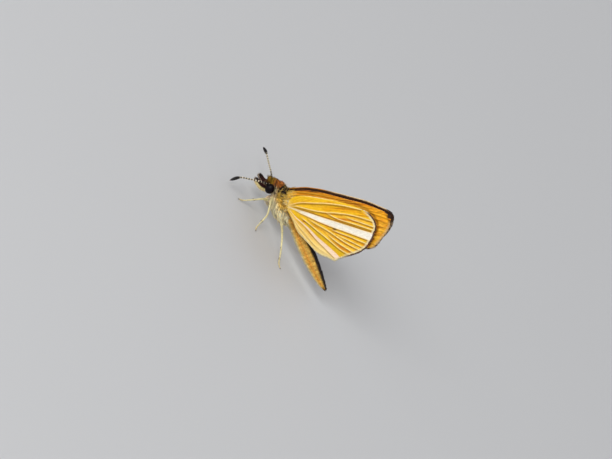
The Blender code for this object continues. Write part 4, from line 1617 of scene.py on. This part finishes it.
def wing_plan(outline, veins, sizes):
    """A triangulated plan with its edge and the crests and feet of its veins as mesh lines."""
    step = sizes.wing_step
    loop = smooth_loop(outline, step)
    crests = [smooth_line(vein, step, 2) for vein in veins]
    coarse = [smooth_line(vein, COARSE, 2) for vein in veins]
    low, high = loop.min(0), loop.max(0)
    columns = np.arange(low[0], high[0], step)
    rows = np.arange(low[1], high[1], step * math.sqrt(0.75))
    grid = np.array([(u + step / 2.0 * (row % 2), v) for row, v in enumerate(rows) for u in columns])
    lines = []
    for crest in crests:
        way = unit(np.gradient(crest, axis=0))
        sideways = np.column_stack((-way[:, 1], way[:, 0])) * sizes.vein_width
        lines.extend((crest, crest + sideways, crest - sideways))
    border = smooth_loop(outline, COARSE)
    grid = grid[depth_in_loop(grid, border) > step * 0.6]
    for line in coarse:
        gap, _ = near_line(grid, line)
        grid = grid[(gap > step * 0.5) & (np.abs(gap - sizes.vein_width) > step * 0.5)]
    points, edges = [loop], []
    first = len(loop)
    for line in lines:
        clear = depth_in_loop(line, border) > step * 0.4
        line = line[clear]
        if len(line) < 2:
            continue
        points.append(line)
        edges.extend((first + index, first + index + 1) for index in range(len(line) - 1))
        first += len(line)
    points.append(grid)
    flat = [Vector(point) for point in np.vstack(points)]
    result = delaunay_2d_cdt(flat, edges, [list(range(len(loop)))], 1, step * 0.1)
    plan = np.array([point[:] for point in result[0]])
    return plan, np.array(result[2]), border, coarse


def vein_reading(plan, crests):
    """Reads the veins: the distance to the nearest, how far that one has grown from its start,
    the place between two veins from 0 to 1, and a line behind each vein for painted shadow."""
    gaps, shares, lee = [], [], np.zeros(len(plan))
    for crest in crests:
        gap, place = near_line(plan, crest)
        share = ease(place * COARSE, 0.0, 0.7)
        behind = read_along(crest, place)[:, 1] > plan[:, 1]
        within = place < len(crest) - 1.05
        # Marks a line just behind each raised vein, for painted shadow.
        lee = np.maximum(lee, bell(gap - 0.115, 0.05) * share * (behind & within))
        gaps.append(gap)
        shares.append(share)
    grown = np.take_along_axis(np.array(shares), np.argmin(gaps, 0)[None], 0)[0]
    gaps = np.sort(gaps, axis=0)
    return {
        "vein": gaps[0],
        "grown": grown,
        "cell": 2.0 * gaps[0] / np.maximum(gaps[0] + gaps[1], 1e-6),
        "lee": lee,
    }


def wing_shell(plan, triangles, form, marks, height_at, root, side, sizes):
    """Both faces of a wing and the strip round its edge; each mark is a pair, outer and inner face."""
    fold = sizes.fold * (ease(form["cell"], 0.0, 1.0) - 0.5)
    fold *= ease(form["edge"], 0.0, 0.4) * ease(plan[:, 0], 0.3, 1.5)
    middle = height_at(plan[:, 0], plan[:, 1]) - fold
    crest = sizes.vein_height * form["grown"] * (1.0 - ease(form["vein"], 0.0, sizes.vein_width))
    half = (sizes.membrane / 2.0 + crest) * (0.45 + 0.55 * ease(form["edge"], 0.0, 0.12))
    outer = in_body(plan, middle + half, root, side)
    inner = in_body(plan, middle - half, root, side)
    count = len(plan)
    facing = 1 if side > 0.0 else -1
    a, b, c = plan[triangles[:, 0]], plan[triangles[:, 1]], plan[triangles[:, 2]]
    turn = (b[:, 0] - a[:, 0]) * (c[:, 1] - a[:, 1]) - (b[:, 1] - a[:, 1]) * (c[:, 0] - a[:, 0])
    triangles = np.where((turn * facing > 0.0)[:, None], triangles[:, ::-1], triangles)
    ways = np.vstack((triangles[:, :2], triangles[:, 1:], triangles[:, ::2][:, ::-1]))
    _, first, uses = np.unique(np.sort(ways, 1), axis=0, return_index=True, return_counts=True)
    rim = ways[first[uses == 1]]
    strip = np.column_stack((rim[:, 1], rim[:, 0], rim[:, 0] + count, rim[:, 1] + count))
    both = {name: np.concatenate(pair) for name, pair in marks.items()}
    both["vein"] = np.tile(form["vein"], 2)
    both["plan"] = np.tile(np.column_stack((plan[:, 0] / 10.0, plan[:, 1] / 10.0 + 0.5)), (2, 1))
    angle = np.arctan2(plan[:, 1], plan[:, 0] + 0.3)
    fan = np.column_stack((np.hypot(plan[:, 0], plan[:, 1]), angle * FAN_RADIUS, np.zeros(count)))
    both["fan"] = np.tile(fan, (2, 1))
    shell = Shell()
    shell.add(np.vstack((outer, inner)), [triangles, triangles[:, ::-1] + count, strip], **both)
    return shell


def spread_tone(colours, name, count):
    """One colour for each of many points."""
    return np.repeat(linear(getattr(colours, name))[None], count, 0)


def painter(colours):
    """A function that lays a named colour over others, by a share from 0 to 1."""
    def paint(base, name, share):
        return mixed(base, linear(getattr(colours, name)), np.clip(share, 0.0, 1.0))

    return paint


def hindwing_marks(plan, form, colours):
    """Golden with orange between the veins and painted shadow behind each, a white ray with painted shade
    along its edges, a second pink one with painted shade below it and a cream edge.
    """
    u, v = plan.T
    count, edge = len(plan), form["edge"]
    upper_edge, lower_edge = smooth_line(RAY_UPPER, COARSE, 2), smooth_line(RAY_LOWER, COARSE, 2)
    ray = depth_in_loop(plan, np.vstack((upper_edge, lower_edge)))
    second = smooth_line(np.column_stack((SECOND_RAY, SECOND_RAY_WIDTHS)), COARSE, 2)
    gap, place = near_line(plan, second[:, :2])
    second_ray = np.where(u > 0.3, read_along(second[:, 2], place) - gap, -1.0)
    under = np.interp(u, second[:, 0], second[:, 1]) - v
    paint = painter(colours)
    out = spread_tone(colours, "gold", count)
    out = paint(out, "wing_orange", 0.7 * ease(form["cell"], 0.45, 0.95) * ease(u, 1.5, 4.0))
    out = paint(out, "yellow", 0.5 * bell(v - 0.05, 0.18) * bell(u - 5.6, 1.5))
    out = paint(out, "olive_gold", 0.65 * bell(under + 0.45, 0.28) * ease(u, 1.3, 2.4))
    out = paint(out, "yellow", 0.45 * bell(under + 1.05, 0.25) * ease(u, 1.0, 2.4))
    # Painted shadow: a brown line behind each raised vein.
    out = paint(out, "wing_brown", 0.75 * form["lee"])
    inner = ease(under, 0.04, 0.25) * ease(u, 0.2, 0.8)
    out = paint(out, "anal_cream", inner * (0.55 + 0.45 * ease(u, 2.4, 3.6)))
    out = paint(out, "cream", 0.5 * (1.0 - ease(u, 0.1, 0.7)) * bell(v, 0.4))
    out = paint(out, "vein", (1.0 - ease(edge, 0.02, 0.08)) * bell(u - 2.6, 1.2) * ease(v, 0.9, 1.1))
    # Painted shade of the folds: brown lines along both edges of the white ray, and one below the second
    # ray.
    out = paint(out, "wing_brown", 0.95 * bell(ray + 0.045, 0.045) * ease(u, 0.6, 1.4))
    out = paint(out, "wing_brown", 0.7 * bell(second_ray + 0.05, 0.045) * (under > 0.0) * ease(u, 0.8, 1.6))
    out = paint(out, "vein", 0.7 * bell(edge - 0.05, 0.06) * ease(-v, 1.1, 1.6) * (1.0 - ease(u, 4.2, 5.0)))
    outer = ease(u, 5.4, 6.6) * ease(0.9 - v, 0.0, 0.3)
    lower = ease(u, 4.9, 5.6) * ease(-v, 1.6, 2.4)
    out = paint(out, "cream", 0.9 * np.maximum(outer, lower) * (1.0 - ease(edge, 0.12, 0.20)))
    for centre, radius, name, strength in HINDWING_SPOTS:
        away = np.linalg.norm((plan - centre) * SPOT_STRETCH, axis=1)
        out = paint(out, name, strength * (1.0 - ease(away, radius * 0.2, radius)))
    tone = paint(spread_tone(colours, "white", count), "yellow", 0.7 * (1.0 - ease(ray, 0.0, 0.09)))
    tone = paint(tone, "cream", 1.0 - ease(u, 0.5, 2.0))
    tone = paint(tone, "blush", ease(second_ray, -0.03, 0.02))
    within = np.maximum(ray, second_ray)
    calm = inner * ease(u, 2.0, 3.6)
    vein_light = form["grown"] * (0.75 + 0.25 * ease(u, 0.0, 3.0)) * (1.0 - 0.5 * calm)
    return {
        "marking": (out, spread_tone(colours, "upper_brown", count)),
        "ray": (within, np.full(count, -1.0)),
        "ray_tone": (tone, tone),
        "vein_light": (vein_light, 0.2 * form["grown"]),
        "streaky": ((0.85 - 0.5 * calm) * ease(edge, 0.05, 0.2), np.full(count, 0.6)),
    }


def forewing_marks(plan, form, colours):
    """Orange gold below, streaked towards the edge, with painted shadow of the hindwing's edge, and dark
    edges on the upper face.
    """
    u, v = plan.T
    count, edge = len(plan), form["edge"]
    costa = np.array(FOREWING_OUTLINE[:14])
    leading = np.interp(u, costa[:, 0], costa[:, 1]) - v
    beside = np.subtract(HINDWING_ROOT, FOREWING_ROOT)
    lean = math.radians(WING_ANGLE)
    ways = np.array(((math.cos(lean), math.sin(lean)), (-math.sin(lean), math.cos(lean))))
    cover = depth_in_loop(plan, smooth_loop(HINDWING_OUTLINE, COARSE) + ways @ beside)
    paint = painter(colours)
    out = spread_tone(colours, "fore_gold", count)
    strip = (1.0 - ease(u, 5.2, 7.0)) * ease(u, 0.6, 1.4)
    out = paint(out, "fore_strip", 0.85 * strip)
    out = paint(out, "wing_brown", 0.6 * strip * (bell(leading - 0.20, 0.05) + bell(leading - 0.42, 0.05)))
    out = paint(out, "fore_orange", 0.6 * bell(leading, 0.16) * ease(u, 4.0, 6.0))
    out = paint(out, "yellow", 0.75 * (1.0 - ease(u, 0.4, 1.5)))
    front_line = (1.0 - ease(leading, 0.06, 0.12)) * ease(u, 0.2, 0.6) * (1.0 - ease(u, 2.4, 3.6))
    out = paint(out, "wing_dark", front_line)
    # Painted shadow that the hindwing's edge casts on the forewing.
    out = paint(out, "wing_brown", 0.75 * bell(cover + 0.07, 0.10) * ease(u, 4.0, 6.2))
    out = paint(out, "fore_light", 0.75 * ease(u, 6.2, 7.4) * ease(-v, 0.0, 0.9) * ease(-cover, 0.14, 0.26))
    outer = ease(u, 7.4, 8.3)
    tan_band = (1.0 - ease(edge, 0.13, 0.20)) * outer * ease(0.0 - v, 0.3, 0.6)
    out = paint(out, "fringe_grey", 0.60 * tan_band)
    apex = bell(u - 8.98, 0.32) * bell(v + 0.05, 0.38) * (1.0 - ease(edge, 0.16, 0.30))
    out = paint(out, "wing_dark", 1.6 * apex)
    width = 0.30 + 0.14 * ease(u, 0.0, 2.0) + 0.16 * ease(u, 5.0, 8.5)
    front_border = 1.0 - ease(leading, width - 0.06, width + 0.06)
    border = np.maximum(front_border, (1.0 - ease(edge, 0.40, 0.55)) * outer)
    above = paint(spread_tone(colours, "fore_orange", count), "wing_dark", border)
    line = (1.0 - ease(leading, 0.02, 0.06)) * (1.0 - ease(u, 8.1, 8.7))
    above = paint(above, "fore_strip", line * (1.0 - ease(u, 2.8, 4.4)))
    above = paint(above, "costa", line * ease(u, 2.8, 4.4))
    above = paint(above, "fringe_grey", (1.0 - ease(edge, 0.08, 0.16)) * outer * ease(-v, 0.5, 0.8))
    return {
        "marking": (out, above),
        "ray": (np.full(count, -1.0), np.full(count, -1.0)),
        "ray_tone": (out, out),
        "vein_light": (form["grown"] * (0.5 - 0.1 * outer), np.zeros(count)),
        "streaky": ((0.75 + 0.45 * ease(u, 5.5, 7.0)) * (1.0 - 0.7 * tan_band), 0.5 * (1.0 - border)),
    }


WINGS = {
    "forewing": (FOREWING_OUTLINE, FOREWING_VEINS, forewing_layer, forewing_marks),
    "hindwing": (HINDWING_OUTLINE, HINDWING_VEINS, hindwing_layer, hindwing_marks),
}


class BUTTERFLY_OT_wings(Operator):
    """Make the four wings with raised veins, folds and markings."""

    bl_idname = "butterfly.wings"
    bl_label = "Wings"

    def execute(self, context):
        sizes, colours = context.scene.butterfly_sizes, context.scene.butterfly_colours
        finishes = {
            "forewing": wing_material("forewing_scales", colours, colours.fore_light, colours.fore_light),
            "hindwing": wing_material("hindwing_scales", colours, colours.yellow, colours.vein),
        }
        for kind, (outline, veins, layer, read) in WINGS.items():
            plan, triangles, loop, crests = wing_plan(outline, veins, sizes)
            form = vein_reading(plan, crests)
            form["edge"] = depth_in_loop(plan, loop)
            marks = read(plan, form, colours)
            for side_name, side in SIDES.items():
                root = wing_root(kind, side_name)
                shell = wing_shell(plan, triangles, form, marks, layer, root, side, sizes)
                name = f"{kind}_{side_name}"
                place_piece(name + "_membrane", shell.mesh(name), finishes[kind], [name])
        return {"FINISHED"}


def fringe_colour(kind, spots, crests, colours):
    """Tan at the forewing and brown at the hindwing, darker where a vein ends, and cream at its lobe."""
    def tone(name):
        return linear(getattr(colours, name))

    gap = np.min([np.linalg.norm(spots - crest[-1], axis=1) for crest in crests], 0)
    at_vein = bell(gap, 0.11)
    u, v = spots.T
    if kind == "forewing":
        base = mixed(tone("fringe_grey"), tone("wing_dark"), np.clip(0.12 + 0.9 * at_vein, 0.0, 1.0))
        return mixed(base, tone("wing_dark"), 0.95 * ease(v, -0.72, -0.40))
    pale = mixed(tone("cream"), tone("fringe_brown"), ease(u, 4.9, 5.7) * ease(0.95 - v, 0.0, 0.3))
    dotted = mixed(pale, tone("wing_dark"), at_vein * ease(u, 5.2, 6.0) * 0.7)
    return mixed(dotted, tone("ember"), 0.9 * bell(np.linalg.norm(spots - FRINGE_SPOT, axis=1), 0.16))


class BUTTERFLY_OT_fringes(Operator):
    """Make the fringe of long scales along the outer edge of each wing."""

    bl_idname = "butterfly.fringes"
    bl_label = "Fringes"

    def execute(self, context):
        sizes, colours = context.scene.butterfly_sizes, context.scene.butterfly_colours
        seed = context.scene.butterfly_coat.seed
        for kind, (outline, veins, layer, read) in WINGS.items():
            loop = smooth_loop(outline, 0.02)
            crests = [smooth_line(vein, 0.1, 2) for vein in veins]
            for side_name, side in SIDES.items():
                name = f"{kind}_{side_name}_fringe"
                rng = np.random.default_rng(seed + 20)
                root = wing_root(kind, side_name)
                shell = fringe_shell(kind, loop, crests, root, layer, side, sizes, colours, rng)
                place_coat(name, shell, 0.2, 0.5)
        return {"FINISHED"}


def fringe_shell(kind, loop, crests, root, layer, side, sizes, colours, rng):
    """Three rows of fringe scales along the outer and the inner edge."""
    closed = np.vstack((loop, loop[:1]))
    walked = walked_along(closed)
    along = np.arange(0.0, walked[-1], 0.028)
    shell = Shell()

    def on_edge(distance):
        return np.column_stack([np.interp(distance, walked, closed[:, axis]) for axis in range(2)])

    for row in range(FRINGE_ROWS):
        spots = on_edge(along + 0.009 * row)
        ahead = on_edge(along + 0.05)
        way = unit(ahead - spots)
        out = np.column_stack((-way[:, 1], way[:, 0]))
        grow = fringe_growth(kind, spots)
        keep = grow > 0.15
        spots, out, grow = spots[keep], out[keep], grow[keep]
        height = layer(spots[:, 0], spots[:, 1]) + 0.012 * (row - 1)
        roots = in_body(spots - out * 0.04, height, root, side)
        tips = in_body(spots + out * 0.04, height, root, side)
        lies = tips - roots + rng.normal(0.0, 0.012, roots.shape)
        normals = np.repeat([(0.0, side, 0.0)], len(roots), 0)
        length = (sizes.fringe * grow + 0.04) * rng.uniform(0.75, 1.1, len(roots)) * (1.0 - 0.12 * row)
        width = 0.045 * rng.uniform(0.8, 1.2, len(roots))
        uv = np.column_stack((spots[:, 0] / 10.0, spots[:, 1] / 10.0 + 0.5))
        marking = fringe_colour(kind, spots, crests, colours)
        tufts(shell, roots, normals, lies, length, width, np.zeros(len(roots)), 0.0, rng, uv, marking,
              profile=(0.5, 1.0, 0.8), thickness=0.16, sink=0.0)
    return shell


def fringe_growth(kind, spots):
    """How long the fringe is along the edge, from 0 to 1."""
    u, v = spots.T
    if kind == "forewing":
        outer = ease(u, 8.3, 8.9)
        inner = ease(-v, 1.6, 2.6) * ease(u, 6.5, 7.5)
        return np.maximum(outer, inner)
    outer = ease(u, 6.0, 6.8)
    lower = ease(-v, 1.4, 2.4) * (0.5 + 0.5 * ease(u, 2.4, 4.0))
    return np.maximum(outer, lower)


class BUTTERFLY_OT_wing_hair(Operator):
    """Grow the fine hair over the roots of the wings, from the shoulder out on the wing."""

    bl_idname = "butterfly.wing_hair"
    bl_label = "Wing Hair"

    def execute(self, context):
        scene = context.scene
        settings = (scene.butterfly_sizes, scene.butterfly_colours, scene.butterfly_coat)
        for kind, (outline, veins, layer, read) in WINGS.items():
            loop = smooth_loop(outline, COARSE)
            for side_name in SIDES:
                name = f"{kind}_{side_name}_hair"
                shell = wing_hair_shell(kind, side_name, loop, layer, *settings)
                place_coat(name, shell, 0.35, 0.5)
        return {"FINISHED"}


def wing_hair_shell(kind, side_name, loop, layer, sizes, colours, coat):
    """Hair that thins out along a wing from its root, and hair on the shoulder beside it."""
    side = SIDES[side_name]
    rng = np.random.default_rng(coat.seed + 40)
    reach = rng.uniform(0.0, 1.25, coat.wing_hair * 4)
    angle = rng.uniform(-1.45, 1.25, len(reach))
    spots = np.column_stack((np.cos(angle), np.sin(angle))) * reach[:, None]
    thick = rng.random(len(reach)) < 1.0 - ease(reach, 0.35, 1.2)
    spots = spots[(depth_in_loop(spots, loop) > 0.03) & thick][:coat.wing_hair]
    shoulder = rng.uniform(-1.0, 1.0, (coat.wing_hair, 2)) * SHOULDER_SIZE + SHOULDER_PLACE[kind]
    spots = np.vstack((spots, shoulder))
    on_body = np.arange(len(spots)) >= len(spots) - coat.wing_hair
    u, v = spots.T
    root = wing_root(kind, side_name)
    height = np.where(on_body, layer(0.0, 0.0) - 0.05, layer(u, v)) + sizes.membrane / 2.0
    roots = in_body(spots, height, root, side)
    ahead = np.where(on_body[:, None], spots + (0.1, 0.0), spots * 1.1)
    ends = in_body(ahead, height, root, side)
    normals = np.repeat([(0.0, side, 0.0)], len(roots), 0)
    lies = unit(ends - roots) + rng.normal(0.0, 0.14, roots.shape)
    length = (0.34 + 0.10 * on_body) * rng.uniform(0.6, 1.2, len(roots))
    lift = np.radians(rng.uniform(4.0, 13.0, len(roots)) + 14.0 * on_body)
    width = (0.022 + 0.006 * on_body) * rng.uniform(0.7, 1.2, len(roots))
    pale = rng.random(len(roots)) < (0.45 if kind == "hindwing" else 0.15)
    marking = mixed(linear(colours.yellow), linear(colours.cream), pale * 0.8)
    upper = ease(v - 0.5 * u, -0.06, 0.06) * (kind == "forewing")
    dark = rng.random(len(roots)) < 0.10 * on_body + 0.85 * upper
    marking[dark] = linear(colours.hair_dark)
    uv = np.column_stack((u / 10.0 + 0.1, v / 10.0 + 0.5))
    shell = Shell()
    tufts(shell, roots, normals, lies, length, width, lift, 0.3, rng, uv, marking,
          thickness=0.4, sink=0.02)
    return shell


class BUTTERFLY_OT_stage(Operator):
    """Make the floor, the lights and the camera."""

    bl_idname = "butterfly.stage"
    bl_label = "Stage"

    def execute(self, context):
        scene = context.scene
        stage, colours = scene.butterfly_stage, scene.butterfly_colours
        bm = bmesh.new()
        bmesh.ops.create_grid(bm, x_segments=8, y_segments=8, size=stage.floor_size / 2.0)
        mesh = bpy.data.meshes.new("floor")
        bm.to_mesh(mesh)
        bm.free()
        mesh.materials.append(floor_material(colours))
        floor = bpy.data.objects.new("floor", mesh)
        scene.collection.objects.link(floor)
        for name, way, size in LIGHTS:
            add_light(name, way, size, getattr(stage, name))
        world = bpy.data.worlds.new("surround")
        world.use_nodes = True
        background = world.node_tree.nodes["Background"]
        background.inputs["Color"].default_value = SKY_COLOUR
        background.inputs["Strength"].default_value = stage.sky
        scene.world = world
        scene.view_settings.view_transform = "Standard"
        scene.camera = add_camera(stage)
        return {"FINISHED"}


def add_light(name, way, size, power):
    """A soft square light that looks at the butterfly from a direction."""
    lamp = bpy.data.lights.new(name, "AREA")
    lamp.size = size
    lamp.energy = power
    light = bpy.data.objects.new(name, lamp)
    bpy.context.scene.collection.objects.link(light)
    place = Vector(way).normalized()
    aim = TO_ROW @ Vector(CAMERA_AIM)
    light.location = aim + place * LIGHT_REACH
    light.rotation_euler = place.to_track_quat("Z", "Y").to_euler()


def add_camera(stage):
    """A long lens that looks down at the left side, turned so that the body hangs as in the picture."""
    lens = bpy.data.cameras.new("camera")
    lens.lens = stage.lens
    lens.sensor_width = SENSOR_WIDTH
    lens.clip_start = 0.01
    camera = bpy.data.objects.new("camera", lens)
    bpy.context.scene.collection.objects.link(camera)
    look = Vector((0.0, math.cos(stage.elevation), -math.sin(stage.elevation)))
    level = Vector((0.0, math.sin(stage.elevation), math.cos(stage.elevation)))
    tail = Vector((1.0, 0.0, 0.0))
    right = tail * math.cos(stage.roll) + level * math.sin(stage.roll)
    up = -tail * math.sin(stage.roll) + level * math.cos(stage.roll)
    turn = Matrix((right, up, -look)).transposed()
    aim = TO_ROW @ Vector(CAMERA_AIM)
    camera.matrix_world = Matrix.Translation(aim - look * stage.distance) @ turn.to_4x4()
    return camera


class BUTTERFLY_PT_panel(Panel):
    """Sidebar panel with the butterfly's pieces and settings."""

    bl_idname = "BUTTERFLY_PT_panel"
    bl_label = "Skipper Butterfly"
    bl_space_type = "VIEW_3D"
    bl_region_type = "UI"
    bl_category = "Butterfly"

    def draw(self, context):
        for operator in OPERATORS:
            self.layout.operator(operator.bl_idname)
        for group in GROUPS:
            settings = getattr(context.scene, group)
            box = self.layout.box()
            for key in settings.__annotations__:
                box.prop(settings, key)


GROUPS = {
    "butterfly_sizes": ButterflySizes,
    "butterfly_coat": ButterflyCoat,
    "butterfly_colours": ButterflyColours,
    "butterfly_stage": ButterflyStage,
}
OPERATORS = (
    BUTTERFLY_OT_stage,
    BUTTERFLY_OT_skin,
    BUTTERFLY_OT_body_coat,
    BUTTERFLY_OT_eyes,
    BUTTERFLY_OT_antennae,
    BUTTERFLY_OT_claws,
    BUTTERFLY_OT_wings,
    BUTTERFLY_OT_fringes,
    BUTTERFLY_OT_wing_hair,
)


def register():
    """Registers the settings, the operators and the panel."""
    for group in GROUPS.values():
        bpy.utils.register_class(group)
    for name, group in GROUPS.items():
        setattr(bpy.types.Scene, name, PointerProperty(type=group))
    for operator in OPERATORS:
        bpy.utils.register_class(operator)
    bpy.utils.register_class(BUTTERFLY_PT_panel)


def unregister():
    """Takes them all away again."""
    bpy.utils.unregister_class(BUTTERFLY_PT_panel)
    for operator in reversed(OPERATORS):
        bpy.utils.unregister_class(operator)
    for name in GROUPS:
        delattr(bpy.types.Scene, name)
    for group in reversed(GROUPS.values()):
        bpy.utils.unregister_class(group)


def main():
    """Makes the whole butterfly and its stage."""
    register()
    bpy.ops.butterfly.stage()
    bpy.ops.butterfly.skin()
    bpy.ops.butterfly.body_coat()
    bpy.ops.butterfly.eyes()
    bpy.ops.butterfly.antennae()
    bpy.ops.butterfly.claws()
    bpy.ops.butterfly.wings()
    bpy.ops.butterfly.fringes()
    bpy.ops.butterfly.wing_hair()


if __name__ == "__main__":
    main()
